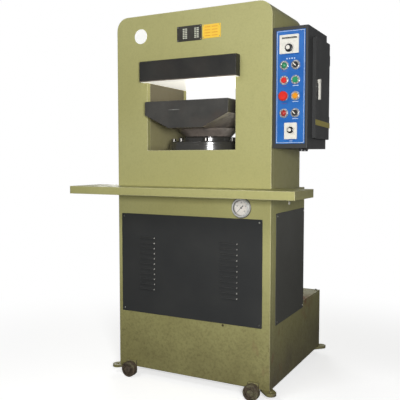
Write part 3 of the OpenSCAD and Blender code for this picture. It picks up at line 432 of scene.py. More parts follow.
def olive_enamel(name, light, dark, wear_and_highlight=1.0, shade_heights=None):
    """Enamel darker low down from grime and painted shade; a pair of heights adds a painted shade upwards."""
    f = Finish(name, Specular_IOR_Level=0.25)
    soft = f.rounded(6 * MM)
    mottle = f.noise(30, detail=5)
    colour = f.blend(f.spread(f.noise(1.8, detail=2), 0.35, 0.65), dark, light)
    colour = f.blend(f.spread(mottle, 0.5, 0.8, 0.0, 0.16), colour, MOTTLE)
    colour = f.blend(f.spread(f.noise(110, detail=3), 0.45, 0.75, 0.0, 0.2), colour, GRAIN)
    # Painted shade, darker upwards between two heights.
    if shade_heights:
        colour = f.blend(f.spread(f.axis("Z"), *shade_heights), colour, WINDOW_TOP_SHADE)
    # Edges lightened: rubbing with a painted highlight.
    rub_and_highlight = f.times(f.edges(soft), f.spread(f.noise(19), 0.3, 0.55, 0.45, 0.9 * wear_and_highlight))
    colour = f.blend(rub_and_highlight, colour, RUBBED_AND_LIT)
    low = f.spread(f.axis("Z"), LOW_TOP, LOW_FULL)
    worn = chipped(f, low)
    colour = f.blend(f.times(worn, wear_and_highlight), dirtied_and_shaded(f, colour, low), RUST)
    colour = f.blend(f.spread(f.near(DARK_CHIP, DARK_CHIP_REACH), 0.1, 0.5), colour, OLD_PAINT)
    height = f.math("SUBTRACT", f.times(f.noise(420, detail=2), 0.2), f.times(worn, 0.5))
    return f.done(Base_Color=colour, Normal=f.bump(height, 0.4 * MM, soft),
                  Roughness=f.spread(f.math("ADD", mottle, worn), 0.3, 1.3, 0.4, 0.75))


olive = olive_enamel("olive_enamel", screen(184, 181, 124), screen(176, 172, 114))
# The liners are a darker copy of the enamel: a painted shade for the inside of the window.
shaded_liner_olive = olive_enamel("shaded_liner_olive", screen(174, 167, 124), screen(158, 151, 112), wear_and_highlight=0.6,
                           shade_heights=(1.2, 1.345))
print("enamel nodes:", len(olive.node_tree.nodes))

# %% [markdown]
# ## Black paint on the press tools
#
# The platen, the table and the cylinder are machined blocks under thin black paint, handled with oily
# gloves. They need a broken gloss, edges that are worn to steel, a brown where oil has dried, and on the
# undersides pale oil with a painted reflection, strongest on the right-hand slope of the table. Masks by
# direction find those places on any shape, where a painted image would have to be made for each block. One
# fine scratch runs across the front of the table.

# %% Lay oil and a painted reflection on the undersides
# Pale oil with a painted reflection on faces that look down, and a stronger one on the right-hand slope.
OIL_AND_REFLECTION = screen(158, 146, 136)
SLOPE_OIL_AND_REFLECTION = screen(226, 218, 208)


def oiled_and_lit(f, colour, fine):
    """Pale oil with a painted reflection on faces that look down, stronger on the right-hand slope."""
    below = f.spread(f.facing("Z"), -0.3, -0.55)
    film = f.spread(f.noise(13, detail=6, rough=0.6), 0.35, 0.65, 0.3, 0.95)
    colour = f.blend(f.times(below, film), colour, OIL_AND_REFLECTION)
    # Painted reflection, with oil, on the right-hand slope of the table.
    slope = f.times(f.times(below, f.spread(f.facing("X"), 0.2, 0.45)), f.spread(f.axis("X"), 0.1, 0.18))
    return f.blend(f.times(slope, f.spread(fine, 0.35, 0.6, 0.4, 0.9)), colour, SLOPE_OIL_AND_REFLECTION)


print("oil film in light:", [round(v, 2) for v in OIL_AND_REFLECTION[:3]])

# %% [markdown]
# ## Ground faces
#
# The two faces that press on the work are ground bright, and the shader finds them by the direction that
# they face. The underside of the platen is as white as the background in the photo, and its near-white tone
# is partly a painted reflection. No lamp reaches it that strongly, so it gets a little painted glow of its
# own, which stands for the light that is thrown up between table and platen.

# %% Mix the oily black
DRIED_OIL = screen(84, 60, 48)
WORN_STEEL = screen(150, 146, 138)
SCRATCHED = screen(142, 142, 137)
# Near-white ground tones: ground steel, with a painted reflection on the underside of the platen.
GROUND_DARK, GROUND_LIGHT = screen(232, 230, 222), screen(246, 245, 241)
TABLE_SCRATCH = (-92 * MM, -22 * MM, 1294 * MM, 2.4 * MM)


def oily_black(name, tone, smeared, brown, ground=0, painted_glow=0.0, gloss=0.2, rough=(0.24, 0.55), scratch=None):
    """Black paint under oil; ground is +1 for a bright top face and -1 for a bright underside."""
    f = Finish(name, Specular_IOR_Level=gloss)
    soft = f.rounded(2.5 * MM)
    smear = f.noise(7, detail=7, rough=0.65)
    fine = f.noise(55, detail=5)
    colour = f.blend(f.spread(smear, 0.35, 0.7), tone, smeared)
    colour = f.blend(f.spread(f.noise(4.5, detail=5), 0.5, 0.72, 0.0, brown), colour, DRIED_OIL)
    colour = oiled_and_lit(f, colour, fine)
    worn = f.times(f.edges(soft), f.spread(fine, 0.42, 0.62, 0.0, 0.8))
    colour = f.blend(worn, colour, WORN_STEEL)
    if scratch:
        colour = f.blend(f.times(f.line(*scratch), f.spread(fine, 0.3, 0.6)), colour, SCRATCHED)
    metal = worn
    if ground:
        bright = f.spread(f.times(f.facing("Z"), ground), 0.9, 0.98)
        lines = f.noise(60, detail=4, stretch=(0.12, 3.0, 1.0))
        steel = f.blend(f.spread(lines, 0.35, 0.65), GROUND_DARK, GROUND_LIGHT)
        colour = f.blend(bright, colour, steel)
        metal = f.math("MAXIMUM", worn, f.times(bright, 0.2))
        # Painted glow: the ground face emits light of its own, in place of light thrown up from the table.
        f.fill(f.shader, {"Emission_Color": steel, "Emission_Strength": f.times(bright, painted_glow)})
    return f.done(Base_Color=colour, Metallic=metal, Normal=f.bump(f.times(fine, 0.4), 0.3 * MM, soft),
                  Roughness=f.spread(f.math("ADD", smear, f.times(fine, 0.4)), 0.45, 0.95, *rough))


# The underside of the platen takes a painted glow.
platen_black = oily_black("platen_black", screen(46, 46, 45), screen(58, 57, 54), brown=0.1,
                          ground=-1, painted_glow=0.6)
table_black = oily_black("table_black", screen(60, 60, 58), screen(78, 76, 72), brown=0.3,
                         ground=1, gloss=0.45, scratch=TABLE_SCRATCH)
cylinder_black = oily_black("cylinder_black", screen(54, 54, 52), screen(66, 65, 62), brown=0.05,
                            gloss=0.8, rough=(0.1, 0.26))
print("tool finishes:", platen_black.name, table_black.name, cylinder_black.name)

# %% [markdown]
# ## Satin black sheet
#
# The louvred cover, the side covers and the control box are thin sheet with a fine wrinkle finish. Dust
# settles on them in clouds and lifts the black to a dark grey, and their edges are rubbed pale, partly a
# painted highlight. The right-hand ends of the louvres carry a painted highlight, where they catch the
# light, and the side covers take a lighter tone, from dust and painted light. The louvres are real relief in
# the solid. The wrinkle is far finer than any mesh, so it is a bump.

# %% Mix the sheet black
SHEET_STANDS_OUT = 2.5 * MM
COVER_FACE = FRONT - SHEET_STANDS_OUT
SHEET_DUST = screen(92, 91, 86)
SHEET_EDGE = screen(122, 120, 114)
# Painted highlight on the right-hand ends of the louvres.
TIP_HIGHLIGHT = screen(206, 204, 196)


def sheet_black(name, tone, dust, tip_highlights=False):
    """Black sheet with rubbed edges under a painted highlight; right-facing hood ends can take one too."""
    f = Finish(name, Specular_IOR_Level=0.2)
    soft = f.rounded(1.2 * MM)
    cloud = f.noise(5, detail=5)
    colour = f.blend(f.spread(cloud, 0.4, 0.75, 0.0, dust), tone, SHEET_DUST)
    # Edges rubbed pale, partly a painted highlight.
    rub_and_highlight = f.times(f.edges(soft), f.spread(f.noise(40), 0.4, 0.6, 0.1, 0.5))
    colour = f.blend(rub_and_highlight, colour, SHEET_EDGE)
    # Painted highlight on the hood ends that face right.
    if tip_highlights:
        proud = f.spread(f.axis("Y"), COVER_FACE - 0.5 * MM, COVER_FACE - 1.0 * MM)
        painted_tip = f.times(proud, f.spread(f.facing("X"), 0.45, 0.85))
        colour = f.blend(f.times(painted_tip, f.spread(f.noise(70), 0.35, 0.55)), colour, TIP_HIGHLIGHT)
    return f.done(Base_Color=colour, Roughness=f.spread(cloud, 0.3, 0.8, 0.42, 0.6),
                  Normal=f.bump(f.noise(900, detail=2), 0.25 * MM, soft))


cover_black = sheet_black("cover_black", screen(56, 57, 57), dust=0.12, tip_highlights=True)
# A lighter copy for the side covers: more dust, and painted light for faces the lamps reach less.
side_black_dusty_and_lit = sheet_black("side_cover_black", screen(89, 89, 84), dust=0.2)
box_black = sheet_black("box_black", screen(65, 66, 66), dust=0.1)
print("sheet finishes:", cover_black.name, side_black_dusty_and_lit.name, box_black.name)

# %% [markdown]
# ## Bare metals
#
# The ram is ground along its length, the rings round the buttons are plated, the bolts are dark steel,
# screws and pipes are zinc, and one housing inside is cast alloy. Each could have nodes of its own, but
# they differ only in tone, gloss and grain, so they share one recipe.

# %% Mix the metals
def bare_metal(name, light, dark, gloss, grain, stretch=(1.0, 1.0, 1.0), metal=1.0):
    """Bare metal whose tone and gloss follow a grain; gloss is its range of roughness."""
    f = Finish(name, Metallic=metal)
    streak = f.noise(grain, detail=5, stretch=stretch)
    colour = f.blend(f.spread(streak, 0.3, 0.7), dark, light)
    return f.done(Base_Color=colour, Roughness=f.spread(streak, 0.3, 0.7, *gloss),
                  Normal=f.bump(streak, 0.1 * MM, f.rounded(1.0 * MM)))


ram_steel = bare_metal("ram_steel", screen(196, 194, 190), screen(150, 147, 142), (0.14, 0.3),
                       grain=90, stretch=(1, 1, 0.05))
chrome = bare_metal("chrome_plate", screen(250, 250, 248), screen(150, 152, 158), (0.16, 0.34),
                    grain=150, metal=0.6)
bolt_steel = bare_metal("bolt_steel", screen(130, 128, 124), screen(92, 90, 87), (0.3, 0.45), grain=60)
zinc = bare_metal("zinc_plate", screen(176, 176, 170), screen(146, 146, 142), (0.35, 0.5), grain=60)
alloy = bare_metal("cast_alloy", screen(170, 170, 168), screen(136, 136, 134), (0.45, 0.6), grain=120)
print("metals:", [m.name for m in (ram_steel, chrome, bolt_steel, zinc, alloy)])

# %% [markdown]
# ## Rusty iron
#
# The four wheels are bare iron that has rusted. A plain brown would look like paint, so a fine crust and
# larger flakes lie over each other, and the crust also lifts the surface as a bump.

# %% Mix the rusty iron
CRUST_DARK, CRUST_LIGHT = screen(70, 62, 54), screen(108, 94, 78)
FLAKE = screen(118, 114, 88)
IRON_EDGE = screen(140, 126, 108)


def rusty_iron():
    """Brown crust with paler flakes, rubbed along the edges."""
    f = Finish("rusty_iron", Specular_IOR_Level=0.3)
    soft = f.rounded(1.5 * MM)
    crust = f.noise(60, detail=8, rough=0.7)
    flakes = f.noise(22, detail=6, rough=0.65)
    colour = f.blend(f.spread(crust, 0.35, 0.7), CRUST_DARK, CRUST_LIGHT)
    colour = f.blend(f.spread(flakes, 0.5, 0.62), colour, FLAKE)
    colour = f.blend(f.times(f.edges(soft), 0.35), colour, IRON_EDGE)
    return f.done(Base_Color=colour, Roughness=f.spread(crust, 0.3, 0.7, 0.6, 0.92),
                  Normal=f.bump(crust, 1.2 * MM, soft))


iron = rusty_iron()
print("wheels take", iron.name)

# %% [markdown]
# ## The plating and the card of the gauge
#
# The pressure gauge has a bright bezel in front of a dark flange, and a white card behind its glass. The
# bezel shades its own inside and the rim of the card. Soft light easily loses a shadow that small, so both
# finishes measure the distance from the axis of the gauge and darken by it, as a painted shade.

# %% Mix the gauge finishes
GAUGE_LOW, GAUGE_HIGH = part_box("gauge_case")
GAUGE_MID = (GAUGE_LOW + GAUGE_HIGH) / 2
GAUGE_R = (GAUGE_HIGH.x - GAUGE_LOW.x) / 2
BEZEL_INNER, BEZEL_SHADED = 0.88 * GAUGE_R, 0.86 * GAUGE_R
FLANGE_STARTS, FLANGE_FULL = 0.9 * GAUGE_R, 0.915 * GAUGE_R
CARD_SHADE_STARTS, CARD_SHADE_FULL = 0.66 * GAUGE_R, 0.77 * GAUGE_R


def gauge_plating():
    """Bright plating, dark on the flange, with a painted shade within the bezel."""
    f = Finish("gauge_plating", Metallic=0.25)
    cloud = f.noise(90, detail=4)
    reach = f.from_axis(GAUGE_MID)
    behind = f.spread(f.axis("Y"), GAUGE_LOW.y + 0.4 * MM, GAUGE_LOW.y + 0.8 * MM)
    # Painted shade on the plating within the bezel, behind its face.
    inside = f.times(behind, f.spread(reach, BEZEL_INNER, BEZEL_SHADED))
    dark_flange_and_inner_shade = f.math("MAXIMUM", inside, f.spread(reach, FLANGE_STARTS, FLANGE_FULL))
    colour = f.blend(f.spread(cloud, 0.3, 0.7), screen(226, 226, 224), screen(246, 246, 243))
    # Dark on the flange, and painted shade within the bezel.
    colour = f.blend(f.times(dark_flange_and_inner_shade, 0.9), colour, screen(62, 60, 52))
    return f.done(Base_Color=colour, Roughness=f.spread(cloud, 0.3, 0.7, 0.24, 0.36),
                  Normal=f.rounded(1.0 * MM))


def dial_paper():
    """White card with a painted shade towards its rim, where the bezel shades it."""
    f = Finish("dial_white", Specular_IOR_Level=0.3)
    rim = f.spread(f.from_axis(GAUGE_MID), CARD_SHADE_STARTS, CARD_SHADE_FULL)
    cloud = f.noise(90, detail=4)
    colour = f.blend(f.spread(cloud, 0.3, 0.7), screen(255, 250, 242), screen(250, 242, 232))
    # Painted shade of the bezel on the rim of the card.
    colour = f.blend(f.times(rim, 0.85), colour, screen(70, 68, 62))
    return f.done(Base_Color=colour, Roughness=f.spread(cloud, 0.3, 0.7, 0.45, 0.6))


gauge_chrome = gauge_plating()
dial_white = dial_paper()
print("gauge radius:", round(GAUGE_R / MM, 1), "mm")

# %% [markdown]
# ## Plastics and rubber
#
# Buttons and knobs are moulded, so they have a soft gloss and hardly any texture. A flat colour would look
# like paint, so a faint change of tone and a very fine bump go with it. The recipe also serves for the
# rubber seal, with less gloss.

# %% Mix the plastics
HAND_GRIME = screen(92, 88, 78)


def moulded(name, tone, rough=0.32, grime=0.18, painted_glow=0.0):
    """Smooth plastic with a trace of grime, and, if asked, a weak painted light of its own."""
    f = Finish(name, Specular_IOR_Level=0.5, Coat_Weight=0.15, Emission_Color=tone, Emission_Strength=painted_glow)
    cloud = f.noise(70, detail=4)
    colour = f.blend(f.spread(cloud, 0.45, 0.8, 0.0, grime), tone, HAND_GRIME)
    return f.done(Base_Color=colour, Roughness=f.spread(cloud, 0.3, 0.7, rough - 0.06, rough + 0.08),
                  Normal=f.bump(f.noise(1500, detail=2), 0.08 * MM, f.rounded(0.8 * MM)))


white_plastic = moulded("white_plastic", screen(238, 235, 224))
black_plastic = moulded("black_plastic", screen(36, 36, 38), rough=0.38)
red_plastic = moulded("red_plastic", screen(226, 44, 34), grime=0.08)
green_plastic = moulded("green_plastic", screen(34, 150, 96), grime=0.08)
yellow_plastic = moulded("yellow_plastic", screen(240, 156, 26), grime=0.08)
seal_rubber = moulded("seal_rubber", screen(34, 34, 34), rough=0.62)
grey_plastic = moulded("grey_plastic", screen(176, 176, 172), rough=0.45)
print("plastics share", len(red_plastic.node_tree.nodes), "nodes each")

# %% [markdown]
# ## Lamp lenses and gauge glass
#
# Two pilot lamps sit on the panel, one above the other, and their lenses share one solid. So the finish
# takes its colour from the height, green above and red below, with the rings of a moulded lens. The glass
# of the gauge is hardly more than a gloss. Refraction would be truer, but it would dim the dial behind it.

# %% Mix the lens and the glass
LAMP_SPLIT = sum(corner.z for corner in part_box("panel_lamps")) / 2
RING_SCALE = 90.0


def lamp_lens():
    """Coloured lens with faint pale rings, green above the split and red below it."""
    f = Finish("lamp_lens", Specular_IOR_Level=0.6, Coat_Weight=0.5, Transmission_Weight=0.15)
    upper = f.math("GREATER_THAN", f.axis("Z"), LAMP_SPLIT)
    rings = f.node("ShaderNodeTexWave", {"wave_type": "RINGS", "rings_direction": "SPHERICAL"},
                   Vector=f.place, Scale=RING_SCALE).outputs["Fac"]
    colour = f.blend(upper, screen(196, 34, 28), screen(22, 150, 100))
    colour = f.blend(f.spread(rings, 0.5, 1.0, 0.0, 0.12), colour, screen(236, 232, 220))
    return f.done(Base_Color=colour, Roughness=f.spread(f.noise(80), 0.3, 0.7, 0.12, 0.24))


def gauge_glass():
    """Almost clear sheet with a slightly uneven gloss."""
    f = Finish("gauge_glass", Alpha=0.05, Base_Color=screen(240, 243, 244))
    return f.done(Roughness=f.spread(f.noise(45, detail=3), 0.45, 0.8, 0.04, 0.14))


lamp_glass = lamp_lens()
lens_glass = gauge_glass()
print("lamps change colour at", round(LAMP_SPLIT, 3), "m")

# %% [markdown]
# ## Blue panel and the paints inside
#
# The panel is a blue sheet with pale edges, and the motor and the pump behind the covers have the gloss
# enamel of bought-in units. All three are smooth coats that cloud a little and are pale along the edges,
# rubbed and with a painted highlight, so one recipe does for them.

# %% Mix the smooth coats
def smooth_coat(name, tones, edge, rub_and_highlight, radius, cloud_scale, rough, peel, **shader):
    """A coat that clouds between two tones; peel is the scale, the detail and the depth of its bump."""
    f = Finish(name, **shader)
    soft = f.rounded(radius)
    cloud = f.noise(cloud_scale, detail=5)
    colour = f.blend(f.spread(cloud, 0.35, 0.7), *tones)
    # Edges rubbed pale, partly a painted highlight.
    colour = f.blend(f.times(f.edges(soft), rub_and_highlight), colour, edge)
    scale, detail, depth = peel
    return f.done(Base_Color=colour, Roughness=f.spread(cloud, 0.3, 0.7, *rough),
                  Normal=f.bump(f.noise(scale, detail=detail), depth, soft))


def gloss_paint(name, dark, light):
    """Gloss enamel on a machine part."""
    return smooth_coat(name, (dark, light), screen(160, 164, 160), rub_and_highlight=0.3, radius=1.5 * MM, cloud_scale=18,
                       rough=(0.3, 0.45), peel=(240, 3, 0.3 * MM), Coat_Weight=0.2)


blue = smooth_coat("blue_panel", (screen(26, 97, 178), screen(40, 112, 190)), screen(150, 180, 214), rub_and_highlight=0.5,
                   radius=0.6 * MM, cloud_scale=14, rough=(0.34, 0.46), peel=(700, 2, 0.1 * MM),
                   Specular_IOR_Level=0.45)
motor_paint = gloss_paint("motor_paint", screen(54, 82, 98), screen(70, 100, 118))
pump_iron = gloss_paint("pump_iron", screen(92, 90, 84), screen(112, 110, 100))
print("smooth coats:", blue.name, motor_paint.name, pump_iron.name)

# %% [markdown]
# ## Dress the solids
#
# Each solid keeps its shape and takes a finish through its material slots. A table from finish to pieces
# reads like a paint list, and a print at the end lists any solid that was left bare.

# %% Hand out the finishes
PAINT_LIST = [
    (olive, "front_plate rear_plate side_shell bed_plate crown_plate base_floor side_panels "
            "rear_panel shelf oil_tank tank_lid foot_lugs axle_stubs"),
    (shaded_liner_olive, "column_liners"),
    (platen_black, "upper_platen"),
    (table_black, "ram_table"),
    (cylinder_black, "cylinder_body cylinder_head"),
    (cover_black, "front_cover"),
    (side_black_dusty_and_lit, "side_covers"),
    (box_black, "control_box box_door door_hinges"),
    (iron, "axle_caps wheel_front_left wheel_front_right wheel_rear_left wheel_rear_right"),
    (ram_steel, "ram"),
    (chrome, "button_rings"),
    (gauge_chrome, "gauge_case"),
    (zinc, "oil_pipes back_plate valve_block"),
    (bolt_steel, "head_bolts"),
    (alloy, "bell_housing"),
    (white_plastic, "controller_case timer_case door_handle"),
    (dial_white, "gauge_dial"),
    (black_plastic, "gauge_needle switch_blocks controller_knob timer_knob upper_selector "
                    "lower_selector box_glands filler_cap solenoid_valve"),
    (grey_plastic, "contactors"),
    (red_plastic, "red_button stop_button"),
    (green_plastic, "green_button"),
    (yellow_plastic, "yellow_button"),
    (seal_rubber, "wiper_ring"),
    (lamp_glass, "panel_lamps"),
    (lens_glass, "gauge_lens"),
    (blue, "control_panel"),
    (motor_paint, "motor"),
    (pump_iron, "pump"),
]


def dress(node, finish):
    """Puts one finish in every material slot of a solid."""
    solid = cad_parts[node]
    if not solid.material_slots:
        solid.data.materials.append(finish)
    for slot in solid.material_slots:
        slot.material = finish


dressed = set()
for finish, nodes in PAINT_LIST:
    for node in nodes.split():
        dress(node, finish)
        dressed.add(node)
print("dressed:", len(dressed), "left bare:", sorted(set(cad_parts) - dressed))

# %% [markdown]
# ## A drawing board for small pieces
#
# Screws, plates and printed marks are all flat things on a face of the press. So each is drawn on a board
# of its own, with x to the right, y up and z out of the face, and a matrix lays the board on the press.
# Moving finished objects into place would also work, but then their sizes would no longer read as drawn.

# %% Lay a board on a face
BOARDS = {
    "front": ((1, 0, 0), (0, 0, 1), (0, -1, 0)),
    "right": ((0, 1, 0), (0, 0, 1), (1, 0, 0)),
    "back": ((-1, 0, 0), (0, 0, 1), (0, 1, 0)),
    "left": ((0, -1, 0), (0, 0, 1), (-1, 0, 0)),
    "top": ((1, 0, 0), (0, 1, 0), (0, 0, 1)),
}


def board(face, place, turn=0.0):
    """Lays a drawing on a face of the press, at a place, turned by some degrees."""
    laid = Matrix(BOARDS[face]).transposed().to_4x4()
    laid.translation = Vector(place)
    return laid @ Matrix.Rotation(math.radians(turn), 4, "Z")


def front_of(node, turn=0.0):
    """A board in the middle of a piece's front, with the width and the height of that front."""
    low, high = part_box(node)
    middle = ((low.x + high.x) / 2, low.y, (low.z + high.z) / 2)
    return board("front", middle, turn), high.x - low.x, high.z - low.z


print("faces to draw on:", ", ".join(BOARDS))

# %% [markdown]
# ## Two tools and two outlines
#
# Nearly every small part is either cut from sheet or turned on a lathe. So two tools do all the drawing: a
# prism over an outline, with a chamfer that catches the light, and a lathe that turns a profile. Modifiers
# could do the same, but plain vertices and faces are lighter and always closed.

# %% Draw with a prism and a lathe
MOST_INSET = 0.9


def prism(mesh, at, outline, bottom, top, chamfer=0.0):
    """Adds a closed prism over an outline, with a chamfer round its top edge."""
    centre = sum((Vector(p) for p in outline), Vector((0, 0))) / len(outline)
    levels = [(bottom, 0.0), (top - chamfer, 0.0)]
    if chamfer:
        levels.append((top, chamfer))
    loops = []
    for height, inset in levels:
        loop = []
        for point in outline:
            arm = Vector(point) - centre
            spot = centre + arm * (1 - min(inset / arm.length, MOST_INSET))
            loop.append(mesh.verts.new(at @ Vector((*spot, height))))
        loops.append(loop)
    mesh.faces.new(list(reversed(loops[0])))
    mesh.faces.new(loops[-1])
    for below, above in zip(loops, loops[1:]):
        for i, start in enumerate(below):
            j = (i + 1) % len(below)
            mesh.faces.new((start, below[j], above[j], above[i]))


def lathe(mesh, at, profile, sides=32):
    """Turns a profile of (radius, height) points; a radius of zero closes an end."""
    rings = []
    for radius, height in profile:
        turns = sides if radius else 1
        angles = [2 * math.pi * i / sides for i in range(turns)]
        rings.append([mesh.verts.new(at @ Vector((radius * math.cos(a), radius * math.sin(a), height)))
                      for a in angles])
    for low, high in zip(rings, rings[1:]):
        for i in range(sides):
            j = (i + 1) % sides
            corners = [low[i % len(low)], low[j % len(low)], high[j % len(high)], high[i % len(high)]]
            mesh.faces.new(list(dict.fromkeys(corners)))


def plate_outline(width, height, corner, steps=5):
    """A rectangle about the middle of the board, with round corners."""
    outline = []
    for quarter, (side_x, side_y) in enumerate([(1, 1), (-1, 1), (-1, -1), (1, -1)]):
        for step in range(steps + 1):
            angle = math.pi / 2 * (quarter + step / steps)
            outline.append((side_x * (width / 2 - corner) + corner * math.cos(angle),
                            side_y * (height / 2 - corner) + corner * math.sin(angle)))
    return outline


def bar(x0, x1, y0, y1):
    """A plain rectangle between two limits each way."""
    return [(x0, y0), (x1, y0), (x1, y1), (x0, y1)]


print("a round-cornered outline has", len(plate_outline(2, 1, 0.1)), "points")

# %% [markdown]
# ## From a drawing to a piece
#
# A drawing becomes a piece when it has a name, a finish and a body that it rides on, so that what sits on
# a door or a knob moves with it. Faces are shaded smooth and the corners kept sharp by their angle, which
# suits both turned and cut parts. Print is a piece too, a quarter of a millimetre thick.

# %% Turn drawings into pieces
SHARP_FROM = 35.0
PRINT_T = 0.25 * MM


def piece(name, mesh, finish, body):
    """Turns the drawn mesh into a named piece that rides on a body."""
    bmesh.ops.recalc_face_normals(mesh, faces=mesh.faces)
    data = bpy.data.meshes.new(name)
    mesh.to_mesh(data)
    mesh.free()
    data.materials.append(finish)
    data.polygons.foreach_set("use_smooth", [True] * len(data.polygons))
    data.set_sharp_from_angle(angle=math.radians(SHARP_FROM))
    made = bpy.data.objects.new(name, data)
    scene.collection.objects.link(made)
    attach(made, body)
    print(name, "rides on", body, "with", len(data.polygons), "faces")


def printed(name, at, outlines, finish, body="frame", lift=0.0, thickness=PRINT_T):
    """Flat printed marks on a board, lifted to the face that carries them."""
    mesh = bmesh.new()
    for outline in outlines:
        prism(mesh, at, outline, lift, lift + thickness)
    piece(name, mesh, finish, body)


print("print is", PRINT_T / MM, "mm thick")

# %% [markdown]
# ## Screws and bolts
#
# The sheet covers are held by slotted pan-head screws. The slot is real: the head is two half discs on a
# thin base, so it catches light and shade as a cut would. A cut with a boolean would do too, but it leaves
# ragged faces. A bolt is a hexagon on a washer.

# %% Draw a slotted screw and a hexagon bolt
SLOT_SHARE = 0.3
HEAD_BASE_SHARE, HEAD_TOP_SHARE, HEAD_CHAMFER_SHARE = 0.3, 0.75, 0.2
WASHER_R_SHARE, WASHER_T_SHARE = 1.3, 0.25
NUT_TOP_SHARE, NUT_CHAMFER_SHARE = 0.95, 0.12


def half_disc(radius, gap, side, steps=10):
    """Half of a disc, on one side of a slot."""
    start = math.asin(gap / 2 / radius)
    angles = [start + (math.pi - 2 * start) * i / steps for i in range(steps + 1)]
    return [(side * radius * math.cos(a), side * radius * math.sin(a)) for a in angles]


def slotted_screw(mesh, at, radius, turn):
    """A pan head with its slot turned by some degrees."""
    laid = at @ Matrix.Rotation(math.radians(turn), 4, "Z")
    base = HEAD_BASE_SHARE * radius
    lathe(mesh, laid, [(0, 0), (radius, 0), (radius, base), (0, base)], sides=24)
    for side in (1, -1):
        prism(mesh, laid, half_disc(radius, SLOT_SHARE * radius, side), base, HEAD_TOP_SHARE * radius,
              HEAD_CHAMFER_SHARE * radius)


def hexagon_bolt(mesh, at, radius):
    """A hexagon head on a washer."""
    washer_r = WASHER_R_SHARE * radius
    washer_t = WASHER_T_SHARE * radius
    lathe(mesh, at, [(0, 0), (washer_r, 0), (washer_r, washer_t), (0, washer_t)])
    corners = [(radius * math.cos(math.pi / 3 * i), radius * math.sin(math.pi / 3 * i)) for i in range(6)]
    prism(mesh, at, corners, washer_t, NUT_TOP_SHARE * radius, NUT_CHAMFER_SHARE * radius)


print("a slotted screw has", len(half_disc(1, SLOT_SHARE, 1)), "points a side")

# %% [markdown]
# ## Screws in the covers
#
# Each black cover has a screw near every corner. Their places come from the box of the cover, so they
# would follow if the cover changed. Each slot is turned a different way, because no fitter lines them up.

# %% Screw down the front cover and the side covers
SCREW_R = 4.2 * MM
SCREW_INSET = 14 * MM
COVER_SLOT_TURN = 37


def cover_screws(name, node, faces):
    """Screws near the corners of the covers in a node, on the faces that they show."""
    low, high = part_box(node)
    mesh = bmesh.new()
    for face in faces:
        across = "x" if face == "front" else "y"
        alongs = (getattr(low, across) + SCREW_INSET, getattr(high, across) - SCREW_INSET)
        heights = (low.z + SCREW_INSET, high.z - SCREW_INSET)
        spots = [(a, z) for a in alongs for z in heights]
        for i, (a, z) in enumerate(spots):
            place = {"front": (a, COVER_FACE, z), "right": (high.x, a, z), "left": (low.x, a, z)}[face]
            slotted_screw(mesh, board(face, place), SCREW_R, turn=COVER_SLOT_TURN * i)
    piece(name, mesh, zinc, "frame")


cover_screws("front_cover_screws", "front_cover", ["front"])
cover_screws("side_cover_screws", "side_covers", ["left", "right"])

# %% [markdown]
# ## Bolts on the tank, the rear and under the shelf
#
# The lid of an oil tank is bolted along its long sides, and a rear panel is screwed down its edges. A pale
# bolt head shows on the side, just under the shelf. The same two heads serve here, spaced evenly by one
# helper.

# %% Bolt down the tank lid and screw on the rear panel
LID_BOLT_R = 6.5 * MM
LID_INSET = 18 * MM
LID_BOLTS_A_SIDE, REAR_SCREWS_A_SIDE = 5, 4
REAR_SLOT_START, REAR_SLOT_TURN = 25, 50
SHELF_BOLT_Y, SHELF_BOLT_Z = 40 * MM, 865 * MM


def spread_over(low, high, count):
    """Evenly spaced values from low to high."""
    return [low + (high - low) * i / (count - 1) for i in range(count)]


def lid_bolts():
    """Hexagon bolts along the two long sides of the tank lid."""
    low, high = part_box("tank_lid")
    mesh = bmesh.new()
    for x in spread_over(low.x + LID_INSET, high.x - LID_INSET, LID_BOLTS_A_SIDE):
        for y in (low.y + LID_INSET, high.y - LID_INSET):
            hexagon_bolt(mesh, board("top", (x, y, high.z)), LID_BOLT_R)
    piece("tank_lid_bolts", mesh, zinc, "frame")


def rear_screws():
    """Slotted screws down both edges of the rear panel."""
    low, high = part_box("rear_panel")
    heights = spread_over(low.z + 2 * SCREW_INSET, high.z - 2 * SCREW_INSET, REAR_SCREWS_A_SIDE)
    mesh = bmesh.new()
    for x in (low.x + SCREW_INSET, high.x - SCREW_INSET):
        for i, z in enumerate(heights):
            slotted_screw(mesh, board("back", (x, high.y, z)), SCREW_R, REAR_SLOT_START + REAR_SLOT_TURN * i)
    piece("rear_panel_screws", mesh, zinc, "frame")


def shelf_bolts():
    """A white-capped bolt on each side, just under the shelf."""
    mesh = bmesh.new()
    for face, corner in zip(("left", "right"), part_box("side_panels")):
        hexagon_bolt(mesh, board(face, (corner.x, SHELF_BOLT_Y, SHELF_BOLT_Z)), LID_BOLT_R)
    piece("shelf_bolts", mesh, white_plastic, "frame")


lid_bolts()
rear_screws()
shelf_bolts()

# %% [markdown]
# ## The badge on the crown
#
# High on the left of the crown sits a round white badge. A disc in the paint would do from far off, but a
# turned plate with a raised rim catches the light as the real one does. It is nearly as white as the
# background, so it has a weak painted glow, as the underside of the platen has.

# %% Fix the badge
BADGE_X, BADGE_Z, BADGE_R = -264 * MM, 1649 * MM, 34.5 * MM
BADGE_RIM = 2.2 * MM
PLATE_T = 1.2 * MM

# A painted glow keeps the badge nearly as white as the background.
badge_white = moulded("badge_white", screen(252, 252, 249), rough=0.4, grime=0.02, painted_glow=0.14)


